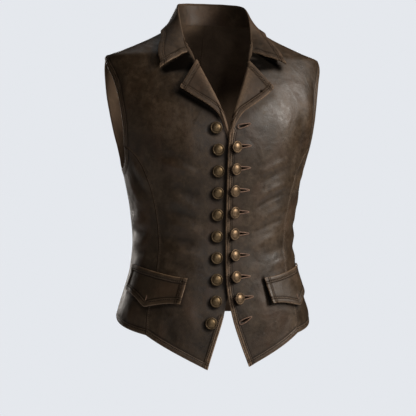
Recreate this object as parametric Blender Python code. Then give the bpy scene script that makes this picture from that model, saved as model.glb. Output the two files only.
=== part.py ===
"""A sleeveless leather vest, filled out as it is worn: two fronts with turned-back lapels, side fronts,
a seamed back, a turned-down collar, scalloped pocket flaps, domed buttons and corded buttonholes.

The frame has +Z up, the front faces -Y and the wearer's left is at +X. The origin lies between the two
shoulders, where the wearer carries the vest. All the tables are in millimetres and degrees, and an angle
runs round the body from 0 at the front, through 90 at the side, to 180 at the back.
"""

import math
from collections import namedtuple

import bmesh
import bpy
import numpy as np
from mathutils import Vector
from mathutils.bvhtree import BVHTree

MM = 0.001

LEATHER = 2.4
SEAM_GAP = 0.3
TURNED_EDGE = 9.5
TURNED_EDGE_RISE = 0.9
EDGE_STEP = 1.6

SKIRT_ROWS = 20
ARMHOLE_ROWS = 9
YOKE_ROWS = 4
PANEL_COLUMNS = 8
SIDE_COLUMNS = 5
WIDTH_STEPS = 9
LINE_STEPS = 400
NORMAL_STEP = 0.05
SHARP_ANGLE = 50.0

SHOULDER_SEAM_ANGLE = 100.0
SHOULDER_SEAM_HALF_GAP = 0.12
CENTRE_BACK_ANGLE = 180.0

# Where the fronts lap, the upper one is raised and the lower one sunk, and both fade into the form.
OVERLAP_FOOT = -545.0
OVERLAP_TOP = -150.0
OVERLAP_LIFT = 1.3
UNDERLAP_DROP = 1.6
OVERLAP_REACH = 26.0
UNDERLAP_REACH = 2.0
OVERLAP_FADE = 34.0
OVERLAP_FOOT_FADE = 40.0
OVERLAP_TOP_FADE = 30.0

# The turned edge shows from the hem up to here, and above that it is under a lapel or the other front.
OVER_EDGE_TOP = -175.0
UNDER_EDGE_TOP = -530.0

# The share of the way up a side front where its rows begin to follow the armhole, and over which they do.
UNDERARM_START = 0.35
UNDERARM_SPAN = 0.55

FACE_REACH = 12.0
NEAREST_REACH = 30.0
BESIDE_REACH = 3.0

BUTTON_PITCH = 40.6
BUTTON_RADIUS = 11.3
BUTTON_SIDES = 12
BUTTON_TOP = 7.3
FASTENED_TILT = 26.0
FASTENED_STAND = 5.4
FASTENED_SHANK_RADIUS = 1.0
FASTENED_SHANK_FOOT = 0.9

CORD_RADIUS = 1.1
CORD_SIDES = 5
CORD_GAP = 0.4
HOLE_WIDTH = 9.6
HOLE_STEPS = 18
HOLE_BLUNTNESS = 0.6
HOLE_POINTING = 0.34

Section = namedtuple("Section", "height half_width front_depth back_depth squareness")
SECTIONS = (
    Section(-650, 190, 114, 110, 2.2),
    Section(-590, 191, 117, 114, 2.2),
    Section(-525, 188, 118, 116, 2.2),
    Section(-470, 173, 116, 110, 2.2),
    Section(-430, 162, 114, 104, 2.25),
    Section(-380, 157, 112, 100, 2.3),
    Section(-320, 162, 118, 104, 2.3),
    Section(-270, 171, 125, 112, 2.25),
    Section(-225, 182, 130, 121, 2.2),
    Section(-200, 191, 131, 125, 2.15),
    Section(-168, 203, 130, 128, 2.1),
    Section(-130, 213, 124, 130, 2.05),
    Section(-92, 218, 111, 129, 2.0),
    Section(-60, 217, 94, 125, 2.0),
    Section(-27, 211, 73, 118, 2.0),
    Section(-14, 181, 64, 114, 2.0),
    Section(-5, 160, 57, 110, 2.0),
    Section(11, 124.5, 44, 102, 2.0),
    Section(26, 97.5, 32, 94, 2.0),
    Section(42, 73, 14, 84, 2.0),
    Section(60, 62, 6, 77, 2.0),
)

# The front edges from the hem's point up to the neck. The wearer's left front laps over the right one.
EdgeRow = namedtuple("EdgeRow", "over_height over_x under_height under_x")
FRONT_EDGE = (
    EdgeRow(-617, 43.5, -622, 37),
    EdgeRow(-575, 27, -575, 22.5),
    EdgeRow(-525, 10.5, -525, 7),
    EdgeRow(-491, 3, -491, -1),
    EdgeRow(-460, -1, -460, -12),
    EdgeRow(-425, -2, -425, -19),
    EdgeRow(-350, -2, -350, -21),
    EdgeRow(-250, -2, -250, -20),
    EdgeRow(-215, -1.5, -215, -16),
)
NECK_OPENING = (
    EdgeRow(-215, -1.5, -215, -16),
    EdgeRow(-197, -0.3, -197, -9),
    EdgeRow(-180, 1.8, -180, -0.5),
    EdgeRow(-165, 7, -165, 6),
    EdgeRow(-137, 14.5, -137, 14.5),
    EdgeRow(-108, 26, -108, 26),
    EdgeRow(-82, 37, -82, 37),
    EdgeRow(-41, 53, -41, 53),
    EdgeRow(-30, 57.5, -30, 57.5),
    EdgeRow(-19, 63, -19, 63),
    EdgeRow(-5, 69, -5, 69),
    EdgeRow(11, 74, 11, 74),
    EdgeRow(26, 76.5, 26, 76.5),
    EdgeRow(36, 76.5, 36, 76.5),
)

Mark = namedtuple("Mark", "angle height")
NECK_BEFORE_SEAM = Mark(80, 41)
NECK_SIDE = Mark(SHOULDER_SEAM_ANGLE, 41.5)
SHOULDER_TIP = Mark(SHOULDER_SEAM_ANGLE, -26)

PRINCESS_SEAM = (
    Mark(49, -557),
    Mark(49, -510),
    Mark(49, -460),
    Mark(48.5, -398),
    Mark(49.3, -342),
    Mark(52.2, -283),
    Mark(55.5, -250),
    Mark(60, -226),
    Mark(66, -208),
    Mark(71.5, -200),
)
FRONT_ARMHOLE = (
    Mark(71.5, -200),
    Mark(67.5, -181),
    Mark(64.8, -158),
    Mark(63.7, -132),
    Mark(64.5, -107),
    Mark(66.8, -85),
    Mark(71.0, -66),
    Mark(77.0, -50),
    Mark(86.0, -36),
    SHOULDER_TIP,
)
SIDE_SEAM = (
    Mark(100, -527),
    Mark(100, -455),
    Mark(100, -300),
    Mark(99.5, -272),
    Mark(98, -240),
)
# The armhole's lowest stretch, from the princess seam to the side seam.
UNDERARM = (
    Mark(71.5, -200),
    Mark(75, -218),
    Mark(80, -231),
    Mark(86, -238.5),
    Mark(92, -241),
    Mark(98, -240),
)
BACK_ARMHOLE = (
    Mark(98, -240),
    Mark(107, -222),
    Mark(113, -185),
    Mark(114.5, -143),
    Mark(112.5, -103),
    Mark(108.8, -70),
    SHOULDER_TIP,
)
CENTRE_BACK = (
    Mark(CENTRE_BACK_ANGLE, -524),
    Mark(CENTRE_BACK_ANGLE, -330),
    Mark(CENTRE_BACK_ANGLE, -130),
)
BACK_NECK = (
    Mark(CENTRE_BACK_ANGLE, 50),
    Mark(164, 49.5),
    Mark(148, 48.4),
    Mark(132, 46.6),
    Mark(116, 44.2),
    NECK_SIDE,
)

# A lapel's rows run from the fold at the front edge out to its free edge, from the break up to the point.
LapelRow = namedtuple("LapelRow", "fold_x fold_height left_x left_height right_x right_height")
LAPEL = (
    LapelRow(4.5, -171, 9.5, -170, 9, -168),
    LapelRow(7.5, -163, 13, -161, 12, -159.5),
    LapelRow(10.5, -152, 20, -150, 16, -149),
    LapelRow(14.5, -137, 29, -139, 22, -139.5),
    LapelRow(20, -122, 42, -130, 33, -130),
    LapelRow(26, -108, 56, -121, 46, -121.5),
    LapelRow(31.5, -95, 68, -113, 59, -113.5),
    LapelRow(37, -82, 79.5, -104.5, 71, -105.5),
    LapelRow(42, -69.5, 87, -98, 80, -99.5),
    LapelRow(47.5, -55, 91, -94, 85, -96),
    LapelRow(53, -42, 92, -91.5, 87, -94),
)
# Across a lapel: the share of its width, a reach past the fold, and the rise of its outer face.
RollPoint = namedtuple("RollPoint", "share past_fold rise")
LAPEL_ROLL = (
    RollPoint(0.0, 3.1, -1.4),
    RollPoint(0.0, 4.3, 1.2),
    RollPoint(0.0, 3.1, 4.3),
    RollPoint(0.0, -0.4, 6.3),
    RollPoint(0.22, 0.0, 6.8),
    RollPoint(0.42, 0.0, 6.2),
    RollPoint(0.62, 0.0, 5.4),
    RollPoint(0.82, 0.0, 4.8),
    RollPoint(1.0, 0.0, 4.6),
)
LAPEL_FULL_ROLL_WIDTH = 22.0
LAPEL_GAP = 0.45
LAPEL_LEAST_RISE = LEATHER + 0.6

# The collar from the centre back to its point: where it meets the neck, its fold, and its free edge on the
# wearer's left and right, which don't lie quite alike.
CollarRow = namedtuple("CollarRow", "neck fold left_edge right_edge edge_rise bulge")
COLLAR = (
    CollarRow(Mark(180, 50.0), (0, 83, 97), Mark(180, 35), Mark(180, 35), 6.0, 2.0),
    CollarRow(Mark(168, 49.7), (17, 81, 96.5), Mark(168, 35), Mark(168, 35), 6.0, 2.0),
    CollarRow(Mark(155, 48.9), (34, 74, 95.5), Mark(155, 34.5), Mark(155, 34.5), 6.0, 2.0),
    CollarRow(Mark(141, 47.6), (48, 62, 93), Mark(142, 33.5), Mark(142, 33.5), 5.5, 2.0),
    CollarRow(Mark(126, 45.7), (58, 46, 90), Mark(129, 32), Mark(129, 32), 5.0, 2.0),
    CollarRow(Mark(113, 43.8), (63, 30, 86), Mark(115, 30), Mark(115, 30), 4.5, 1.0),
    CollarRow(NECK_SIDE, (65.5, 14, 80.5), Mark(101, 27), Mark(102, 27), 4.2, -1.5),
    CollarRow(NECK_BEFORE_SEAM, (67, 2, 71), Mark(74, 22), Mark(79, 21), 3.8, -4.0),
    CollarRow(Mark(65, 36.5), (67.5, -8, 61), Mark(58.5, 14), Mark(63.5, 14), 3.8, -3.5),
    CollarRow(Mark(50.3, 26.5), (66.5, -20, 43), Mark(47.5, 2), Mark(49.5, 1), 4.2, -1.0),
    CollarRow(Mark(36.1, 12.0), (65, -32, 23), Mark(40, -11), Mark(41, -13), 5.0, 2.0),
    CollarRow(Mark(25.2, -5.0), (62.5, -43, 3), Mark(34.8, -23), Mark(34.8, -28), 6.0, 4.0),
    CollarRow(Mark(18.3, -22.0), (60.3, -50, -10), Mark(33.9, -35.5), Mark(33.4, -45), 7.0, 5.0),
    CollarRow(Mark(14.5, -38.5), (58.5, -56, -19), Mark(34.2, -48), Mark(33.5, -60), 8.5, 6.0),
)
COLLAR_STAND_STEPS = 3
COLLAR_FALL_STEPS = 6
COLLAR_FOLD_STEPS = 4
COLLAR_FOLD_REACH = 7.0
COLLAR_NECK_GAP = 0.9
COLLAR_LEAST_RISE = LEATHER + 1.2

# A flap's rows run from its inner end, near the buttons, round to its outer end at the side.
FlapRow = namedtuple("FlapRow", "top_angle top_height foot_angle foot_height")
POCKET_FLAP = (
    FlapRow(25.4, -450, 27.8, -498.5),
    FlapRow(29.0, -448.5, 30.5, -497.5),
    FlapRow(33.0, -447, 34.5, -497.5),
    FlapRow(38.0, -444.5, 39.0, -498.5),
    FlapRow(43.0, -441.5, 43.5, -500.5),
    FlapRow(47.5, -439, 47.7, -503),
    FlapRow(51.5, -436.5, 51.5, -504),
    FlapRow(56.0, -434, 55.7, -497),
    FlapRow(61.0, -431.5, 60.5, -489),
    FlapRow(66.0, -429, 65.5, -483),
    FlapRow(71.0, -427, 70.5, -478.5),
    FlapRow(76.0, -425.5, 75.5, -475.5),
    FlapRow(81.0, -424.5, 80.5, -473.5),
)
FLAP_STEPS = 6
FLAP_RISE_TOP = 0.5
FLAP_RISE_FOOT = 3.6

# A row for each button and buttonhole, from the neck down. A hole turns about its button's shank, or else
# about its own middle.
FastenerRow = namedtuple("FastenerRow", "sewn_x fastened_x hole_start hole_end hole_turn")
FASTENERS = (
    FastenerRow(-24, None, 17, 43, 15),
    FastenerRow(-20, 10, 7, 43, 5),
    FastenerRow(-19.3, 9.5, 6.5, 42.5, 4),
    FastenerRow(-19, 8.5, 5.5, 41.5, 2),
    FastenerRow(-18.5, 9, 6, 42, 1),
    FastenerRow(-18.5, 10, 7, 43, 1),
    FastenerRow(-19, 11, 8, 44, 1),
    FastenerRow(-19.8, 12.5, 9.5, 45.5, 2),
    FastenerRow(-21.5, 18.5, 15.5, 51, 6),
    FastenerRow(-31, None, 22.5, 48.5, 27),
)
SEWN_TOP = -168.5
HOLE_TOP = -163.5

ButtonRing = namedtuple("ButtonRing", "radius rise")
BUTTON_SHANK = (
    ButtonRing(3.0, 0.35),
    ButtonRing(3.0, 2.4),
)
BUTTON_DISC = (
    ButtonRing(9.6, 2.6),
    ButtonRing(BUTTON_RADIUS, 3.9),
    ButtonRing(9.6, 5.0),
    ButtonRing(7.6, 4.4),
    ButtonRing(4.4, 6.6),
)

Finish = namedtuple("Finish", "name colour roughness metallic")
PANEL_FINISH = Finish("brown_leather", (0.052, 0.034, 0.022), 0.5, 0.0)
COLLAR_FINISH = Finish("collar_leather", (0.060, 0.042, 0.028), 0.55, 0.0)
METAL_FINISH = Finish("aged_brass", (0.24, 0.15, 0.07), 0.42, 0.85)
CORD_FINISH = Finish("brown_cord", (0.17, 0.085, 0.045), 0.7, 0.0)


def smooth(knots, values, at):
    """Cubic through a table's rows that never overshoots them. Values may have several columns."""
    knots = np.asarray(knots, float)
    values = np.asarray(values, float)
    step = np.diff(knots).reshape((-1,) + (1,) * (values.ndim - 1))
    slope = np.diff(values, axis=0) / step
    before, after = slope[:-1], slope[1:]
    agree = before * after > 0
    total = np.where(agree, before + after, 1.0)
    inner_slopes = np.where(agree, 2 * before * after / total, 0.0)
    tangent = np.concatenate([slope[:1], inner_slopes, slope[-1:]])
    at = np.asarray(at, float)
    index = np.clip(np.searchsorted(knots, at, side="right") - 1, 0, len(knots) - 2)
    width = np.diff(knots)[index]
    share = (at - knots[index]) / width
    if values.ndim > 1:
        share = share[..., None]
        width = width[..., None]
    start, end = values[index], values[index + 1]
    return (
        start * (1 + 2 * share) * (1 - share) ** 2
        + tangent[index] * width * share * (1 - share) ** 2
        + end * share**2 * (3 - 2 * share)
        + tangent[index + 1] * width * share**2 * (share - 1)
    )


def ease(value):
    """0 below 0, 1 above 1, and a smooth step between."""
    value = np.clip(value, 0, 1)
    return value * value * (3 - 2 * value)


def section_at(height):
    """Half width, front depth, back depth and squareness of the form at a height."""
    rows = np.array(SECTIONS, float)
    return np.moveaxis(smooth(rows[:, 0], rows[:, 1:], height), -1, 0)


def form(angle, height):
    """Points of the form, which is the outer face of the worn leather."""
    angle, height = np.broadcast_arrays(np.asarray(angle, float), np.asarray(height, float))
    half_width, front, back, power = section_at(height)
    sine, cosine = np.sin(np.radians(angle)), np.cos(np.radians(angle))
    reach = (np.abs(sine) ** power + np.abs(cosine) ** power) ** (-1 / power)
    depth = np.where(cosine > 0, front, back)
    return np.stack([half_width * reach * sine, -depth * reach * cosine, height], -1)


def unit(vectors):
    """The same directions with length 1."""
    return vectors / np.linalg.norm(vectors, axis=-1, keepdims=True)


def outward(angle, height):
    """Unit normals of the form, pointing out of the body."""
    step = NORMAL_STEP
    round_body = form(np.add(angle, step), height) - form(np.subtract(angle, step), height)
    up_body = form(angle, np.add(height, step)) - form(angle, np.subtract(height, step))
    return unit(np.cross(round_body, up_body))


def angle_at(x, height):
    """The angle on the front half at which the form has this x."""
    x, height = np.broadcast_arrays(np.asarray(x, float), np.asarray(height, float))
    half_width, _, _, power = section_at(height)
    share = np.clip(np.abs(x) / half_width, 0, 0.9999)
    return np.degrees(np.arctan2(share, (1 - share**power) ** (1 / power))) * np.sign(x)


def mirrored(points):
    """The same points on the wearer's other side."""
    return points * np.array([-1.0, 1.0, 1.0])


def on_side(points, side):
    """The points as they are for the wearer's left, and mirrored for the right."""
    return points if side > 0 else mirrored(points)


def nearest_on(line, point):
    """The spot on a line of points that is nearest to a point, and the line's direction there."""
    steps = np.diff(line, axis=0)
    share = np.clip(((point - line[:-1]) * steps).sum(-1) / (steps**2).sum(-1), 0, 1)
    spots = line[:-1] + steps * share[:, None]
    best = np.argmin(np.linalg.norm(spots - point, axis=-1))
    return spots[best], unit(steps[best])


def resampled(marks, count):
    """This many marks at equal steps along a boundary over the form."""
    marks = np.asarray(marks, float)
    fine = smooth(np.arange(len(marks)), marks, np.linspace(0, len(marks) - 1, LINE_STEPS))
    steps = np.linalg.norm(np.diff(form(fine[:, 0], fine[:, 1]), axis=0), axis=1)
    length = np.concatenate([[0], np.cumsum(steps)])
    at = np.linspace(0, length[-1], count)
    return np.stack([np.interp(at, length, fine[:, 0]), np.interp(at, length, fine[:, 1])], -1)


def boundary(lower, upper):
    """A panel's side, with the same number of rows on each panel below and above the armhole's foot."""
    return np.vstack([resampled(lower, SKIRT_ROWS), resampled(upper, ARMHOLE_ROWS + 1)[1:]])


def with_turned_end(marks):
    """The rows of a boundary with two more after the first, for a turned edge and its step."""
    start, following = form(marks[:2, 0], marks[:2, 1])
    length = np.linalg.norm(following - start)
    extra = [
        marks[0] + (marks[1] - marks[0]) * distance / length
        for distance in (TURNED_EDGE, TURNED_EDGE + EDGE_STEP)
    ]
    return np.vstack([marks[:1], extra, marks[1:]])


def row_widths(left, right):
    """The length over the form of each row between its two boundary marks."""
    shares = np.linspace(0, 1, WIDTH_STEPS)[None, :, None]
    marks = left[:, None, :] * (1 - shares) + right[:, None, :] * shares
    points = form(marks[..., 0], marks[..., 1])
    return np.linalg.norm(np.diff(points, axis=1), axis=-1).sum(axis=1)


def panel_marks(left, right, columns, start_gap=0.0, end_gap=0.0):
    """Angle and height of a panel's grid, with columns at both edges, at their bands and between."""
    stepped = TURNED_EDGE + EDGE_STEP
    rows = []
    for width, start, end in zip(row_widths(left, right), left, right):
        even = np.linspace(stepped, width - stepped, columns)
        places = np.concatenate(
            [[start_gap, TURNED_EDGE], even, [width - TURNED_EDGE, width - end_gap]]
        )
        share = (places / width)[:, None]
        rows.append(start * (1 - share) + end * share)
    return np.array(rows)


def overlap_lift(x, height, under):
    """How far a front is raised or sunk where the two fronts lap, at an x counted towards its own side."""
    above_foot = ease((height - OVERLAP_FOOT) / OVERLAP_FOOT_FADE)
    lapped = above_foot * ease((OVERLAP_TOP - height) / OVERLAP_TOP_FADE)
    if under:
        return -UNDERLAP_DROP * lapped * (1 - ease((x - UNDERLAP_REACH) / OVERLAP_FADE))
    return OVERLAP_LIFT * lapped * (1 - ease((x - OVERLAP_REACH) / OVERLAP_FADE))


def panel_faces(marks, rise, lift=0.0):
    """A panel's outer and inner points. Rise thickens its turned edges, and lift moves the whole wall."""
    base, normal = form(marks[..., 0], marks[..., 1]), outward(marks[..., 0], marks[..., 1])
    lift = lift + np.zeros(rise.shape)
    outer = base + normal * (lift + TURNED_EDGE_RISE * rise)[..., None]
    inner = base + normal * (lift - LEATHER)[..., None]
    return outer, inner


def front_edge(under):
    """A front's edge from the hem's point to the side of the neck, as two stretches of marks."""
    stretches = []
    for rows in (FRONT_EDGE, NECK_OPENING):
        heights = np.array([row.under_height if under else row.over_height for row in rows], float)
        xs = np.array([row.under_x if under else row.over_x for row in rows], float)
        stretches.append(np.stack([angle_at(xs, heights), heights], -1))
    lower, upper = stretches
    return lower, np.vstack([upper, NECK_BEFORE_SEAM, NECK_SIDE])


def front_faces(under):
    """A front with a turned hem, front edge and armhole."""
    left = with_turned_end(boundary(*front_edge(under)))
    right = with_turned_end(boundary(PRINCESS_SEAM, FRONT_ARMHOLE))
    marks = panel_marks(left, right, PANEL_COLUMNS, end_gap=SEAM_GAP / 2)
    marks[-1, :, 0] -= SHOULDER_SEAM_HALF_GAP
    height = marks[..., 1]
    raised = np.zeros(height.shape)
    raised[:2, :] = 1
    edge_top = UNDER_EDGE_TOP if under else OVER_EDGE_TOP
    raised[:, :2] = np.maximum(raised[:, :2], height[:, :2] < edge_top)
    raised[-ARMHOLE_ROWS - 1:, -2:] = 1
    x = form(marks[..., 0], height)[..., 0]
    return panel_faces(marks, raised, overlap_lift(x, height, under))


def underarm_drop(angle):
    """How far the armhole's foot lies below the straight line between its two ends."""
    marks = np.array(UNDERARM, float)
    straight = np.interp(angle, marks[[0, -1], 0], marks[[0, -1], 1])
    return smooth(marks[:, 0], marks[:, 1], angle) - straight


def side_faces():
    """The narrow piece between the princess seam and the side seam, with a turned hem and armhole."""
    seams = [with_turned_end(resampled(seam, SKIRT_ROWS)) for seam in (PRINCESS_SEAM, SIDE_SEAM)]
    left, right = (with_turned_end(seam[::-1])[::-1] for seam in seams)
    marks = panel_marks(left, right, SIDE_COLUMNS, SEAM_GAP / 2, SEAM_GAP / 2)
    share_up = np.linspace(0, 1, len(marks))[:, None]
    marks[..., 1] += underarm_drop(marks[-1:, :, 0]) * ease((share_up - UNDERARM_START) / UNDERARM_SPAN)
    raised = np.zeros(marks.shape[:2])
    raised[:2, :] = 1
    raised[-2:, :] = 1
    return panel_faces(marks, raised)


def back_faces():
    """Half of the back, from the side seam and armhole to the centre back seam and the neck."""
    left = with_turned_end(boundary(SIDE_SEAM, BACK_ARMHOLE))
    yoke = resampled((CENTRE_BACK[-1], BACK_NECK[0]), YOKE_ROWS + 1)[1:]
    neck = resampled(BACK_NECK, ARMHOLE_ROWS - YOKE_ROWS + 1)[1:]
    right = with_turned_end(np.vstack([resampled(CENTRE_BACK, SKIRT_ROWS), yoke, neck]))
    marks = panel_marks(left, right, PANEL_COLUMNS, SEAM_GAP / 2, SEAM_GAP / 2)
    marks[-1, :, 0] += SHOULDER_SEAM_HALF_GAP
    raised = np.zeros(marks.shape[:2])
    raised[:2, :] = 1
    raised[-ARMHOLE_ROWS - 1:, :2] = 1
    return panel_faces(marks, raised)


def material_of(finish):
    """A Principled material of this finish, made once."""
    material = bpy.data.materials.get(finish.name)
    if material is None:
        material = bpy.data.materials.new(finish.name)
        material.use_nodes = True
        shader = material.node_tree.nodes["Principled BSDF"]
        shader.inputs["Base Color"].default_value = (*finish.colour, 1)
        shader.inputs["Roughness"].default_value = finish.roughness
        shader.inputs["Metallic"].default_value = finish.metallic
        material.diffuse_color = (*finish.colour, 1)
    return material


def new_object(name, points, faces, finish):
    """A named mesh object from points in millimetres, with its faces turned outward."""
    mesh = bpy.data.meshes.new(name)
    solid = bmesh.new()
    verts = [solid.verts.new(point * MM) for point in points]
    for face in faces:
        solid.faces.new([verts[corner] for corner in face])
    bmesh.ops.recalc_face_normals(solid, faces=solid.faces)
    solid.to_mesh(mesh)
    solid.free()
    mesh.shade_smooth()
    mesh.set_sharp_from_angle(angle=math.radians(SHARP_ANGLE))
    mesh.materials.append(material_of(finish))
    obj = bpy.data.objects.new(name, mesh)
    bpy.context.scene.collection.objects.link(obj)
    return obj


def quads_of(rows, columns):
    """The quads of a grid of points that are counted row by row."""
    index = np.arange(rows * columns).reshape(rows, columns)
    corners = [index[:-1, :-1], index[:-1, 1:], index[1:, 1:], index[1:, :-1]]
    return np.stack(corners, -1).reshape(-1, 4)


def wall(name, outer, inner, finish):
    """A closed wall between two grids of points with the same rows and columns."""
    rows, columns = outer.shape[:2]
    count = rows * columns
    index = np.arange(count).reshape(rows, columns)
    quads = quads_of(rows, columns)
    faces = [*quads, *(quads[:, ::-1] + count)]
    rim = [*index[0, :], *index[1:, -1], *index[-1, -2::-1], *index[-2:0:-1, 0]]
    faces += [(there, here, here + count, there + count) for here, there in zip(rim, rim[1:] + rim[:1])]
    points = np.concatenate([outer.reshape(-1, 3), inner.reshape(-1, 3)])
    return new_object(name, points, faces, finish)


def tree_of(faces):
    """A search tree over the outer faces of some panels."""
    points, quads = [], []
    for outer in faces:
        quads += [[int(corner) + len(points) for corner in quad] for quad in quads_of(*outer.shape[:2])]
        points += [Vector(point) for point in outer.reshape(-1, 3)]
    return BVHTree.FromPolygons(points, quads)


def face_height(tree, base, normal):
    """How far the leather's outer face stands off a point of the form, or None where there is none."""
    hit = tree.ray_cast(Vector(base + normal * FACE_REACH), Vector(-normal), 2 * FACE_REACH)
    return None if hit[0] is None else FACE_REACH - hit[3]


def on_leather(tree, angle, height, rise, under):
    """Points that stand off a front's leather by a rise, straight out from marks on the wearer's left."""
    angle, height, rise = np.broadcast_arrays(angle, height, np.asarray(rise, float))
    base, normal = form(angle, height), outward(angle, height)
    level = overlap_lift(base[..., 0], height, under)
    for place in np.ndindex(angle.shape):
        found = face_height(tree, base[place], normal[place])
        if found is not None:
            level[place] = max(level[place], found)
    return base + normal * (level + rise)[..., None]


def held_off(tree, points, least):
    """The same points, with those that lie too near the leather moved straight out from it."""
    moved = points.copy()
    for place in np.ndindex(points.shape[:-1]):
        nearest, normal, _, distance = tree.find_nearest(Vector(points[place]), NEAREST_REACH)
        if nearest is None:
            continue
        away = np.array(normal)
        height = (points[place] - np.array(nearest)) @ away
        if height < least and distance < abs(height) + BESIDE_REACH:
            moved[place] = points[place] + away * (least - height)
    return moved


def under_sheet(sheet, thickness):
    """The other face of a free sheet: each point moved along the sheet's own normal."""
    along, across = np.gradient(sheet, axis=0), np.gradient(sheet, axis=1)
    return sheet - unit(np.cross(across, along)) * thickness


def lapel(side, front, tree):
    """A lapel that rolls back over the front from the fold at the neck opening."""
    edge_line = front[:, 0]
    outer = []
    for row in LAPEL:
        free_x, free_height = (
            (row.left_x, row.left_height) if side > 0 else (row.right_x, row.right_height)
        )
        fold = np.array([angle_at(row.fold_x, row.fold_height), row.fold_height])
        free = np.array([angle_at(free_x, free_height), free_height])
        fold_point, free_point = form(*fold), form(*free)
        spot, direction = nearest_on(edge_line, fold_point)
        past = unit(np.cross(outward(*fold), direction))
        shift = (spot - fold_point) @ past
        roll = min(1.0, np.linalg.norm(free_point - fold_point) / LAPEL_FULL_ROLL_WIDTH)
        for share, past_fold, rise in LAPEL_ROLL:
            mark = fold * (1 - share) + free * share
            if share:
                rise = LAPEL_LEAST_RISE + (rise - LAPEL_LEAST_RISE) * roll
            point = on_leather(tree, mark[:1], mark[1:], rise, side < 0)[0]
            outer.append(point + past * (past_fold + shift * (1 - share)))
    outer = np.reshape(outer, (len(LAPEL), len(LAPEL_ROLL), 3))
    under = under_sheet(outer, LEATHER)
    wrapped = sum(place.share == 0 for place in LAPEL_ROLL) - 1
    under[:, wrapped:] = held_off(tree, under[:, wrapped:], LAPEL_GAP)
    return outer, under


def collar_section(row, neck, side):
    """One cross-section of the collar, from the neck up the stand, over the fold and down the fall."""
    fold = np.array(row.fold, float)
    edge_mark = row.left_edge if side > 0 else row.right_edge
    edge_normal = outward(*edge_mark)
    edge = form(*edge_mark) + edge_normal * row.edge_rise
    stand_end = fold + (neck - fold) * COLLAR_FOLD_REACH / np.linalg.norm(neck - fold)
    fall_start = fold + (edge - fold) * COLLAR_FOLD_REACH / np.linalg.norm(edge - fold)
    points = [neck + (stand_end - neck) * share for share in np.linspace(0, 1, COLLAR_STAND_STEPS + 1)]
    for share in np.linspace(0, 1, COLLAR_FOLD_STEPS + 1)[1:-1]:
        points.append(
            stand_end * (1 - share) ** 2 + fold * 2 * share * (1 - share) + fall_start * share**2
        )
    for share in np.linspace(0, 1, COLLAR_FALL_STEPS + 1):
        swell = edge_normal * row.bulge * 4 * share * (1 - share)
        points.append(fall_start * (1 - share) + edge * share + swell)
    return np.array(points)


def collar_half(side, tree, neck_line):
    """Half the collar's outer points, with the spots of the neck line they stand on and the way past it."""
    spots, past = [], []
    for row in COLLAR:
        spot, direction = nearest_on(neck_line, form(*row.neck) - outward(*row.neck) * LEATHER)
        spots.append(spot)
        past.append(unit(np.cross(direction, outward(*row.neck))))
    half = np.array([collar_section(row, spot, side) for row, spot in zip(COLLAR, spots)])
    half[:, 1:] = held_off(tree, half[:, 1:], COLLAR_LEAST_RISE)
    return half, np.array(spots), np.array(past)


def collar_faces(halves):
    """The turned-down collar, one piece from point to point, from its halves on the left and right."""
    outer, spots, past = (
        np.concatenate([mirrored(right[:0:-1]), left]) for left, right in zip(*halves)
    )
    under = under_sheet(outer, -LEATHER)
    for face in (outer, under):
        above = ((face[:, 0] - spots) * past).sum(-1, keepdims=True)
        face[:, 0] += past * np.maximum(COLLAR_NECK_GAP - above, 0)
    return outer, under


def flap_faces(tree):
    """A scalloped pocket flap, sewn along its top and standing off the panels at its foot."""
    rows = np.array(POCKET_FLAP, float)
    drop = np.linspace(0, 1, FLAP_STEPS + 1)[:, None]
    angle = rows[:, 0] * (1 - drop) + rows[:, 2] * drop
    height = rows[:, 1] * (1 - drop) + rows[:, 3] * drop
    rise = FLAP_RISE_TOP * (1 - drop) + FLAP_RISE_FOOT * drop
    inner = on_leather(tree, angle, height, rise, False)
    return inner + outward(angle, height) * LEATHER, inner


def seat(tree, x, height, under):
    """Point, normal and direction towards +X on the outer face of a front, at a place on the vest."""
    side = -1 if under else 1
    angle = angle_at(abs(x), height)
    base, normal = form(angle, height), outward(angle, height)
    point = on_side(base + normal * face_height(tree, base, normal), side)
    normal = on_side(normal, side)
    return point, normal, unit(np.cross([0, 0, 1], normal))


def turned_piece(name, foot, axis, profile, top, finish):
    """A solid of revolution on its foot, from rings given by radius and rise, closed by a domed top."""
    first = unit(np.cross(axis, [0, 0, 1]))
    second = np.cross(axis, first)
    turns = [2 * math.pi * step / BUTTON_SIDES for step in range(BUTTON_SIDES)]
    around = [first * math.cos(turn) + second * math.sin(turn) for turn in turns]
    points = [foot + axis * ring.rise + spoke * ring.radius for ring in profile for spoke in around]
    faces = [tuple(range(BUTTON_SIDES))]
    for level in range(len(profile) - 1):
        for step in range(BUTTON_SIDES):
            following = (step + 1) % BUTTON_SIDES
            low, high = level * BUTTON_SIDES, (level + 1) * BUTTON_SIDES
            faces.append((low + step, low + following, high + following, high + step))
    crown, last = len(points), (len(profile) - 1) * BUTTON_SIDES
    points.append(foot + axis * top)
    faces += [(last + step, last + (step + 1) % BUTTON_SIDES, crown) for step in range(BUTTON_SIDES)]
    return new_object(name, points, faces, finish)


def sewn_button(number, x, tree):
    """A button sewn flat on the wearer's right front."""
    foot, normal, _ = seat(tree, x, SEWN_TOP - BUTTON_PITCH * (number - 1), True)
    profile = BUTTON_SHANK + BUTTON_DISC
    turned_piece(f"button_right_{number:02d}", foot, normal, profile, BUTTON_TOP, METAL_FINISH)


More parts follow.
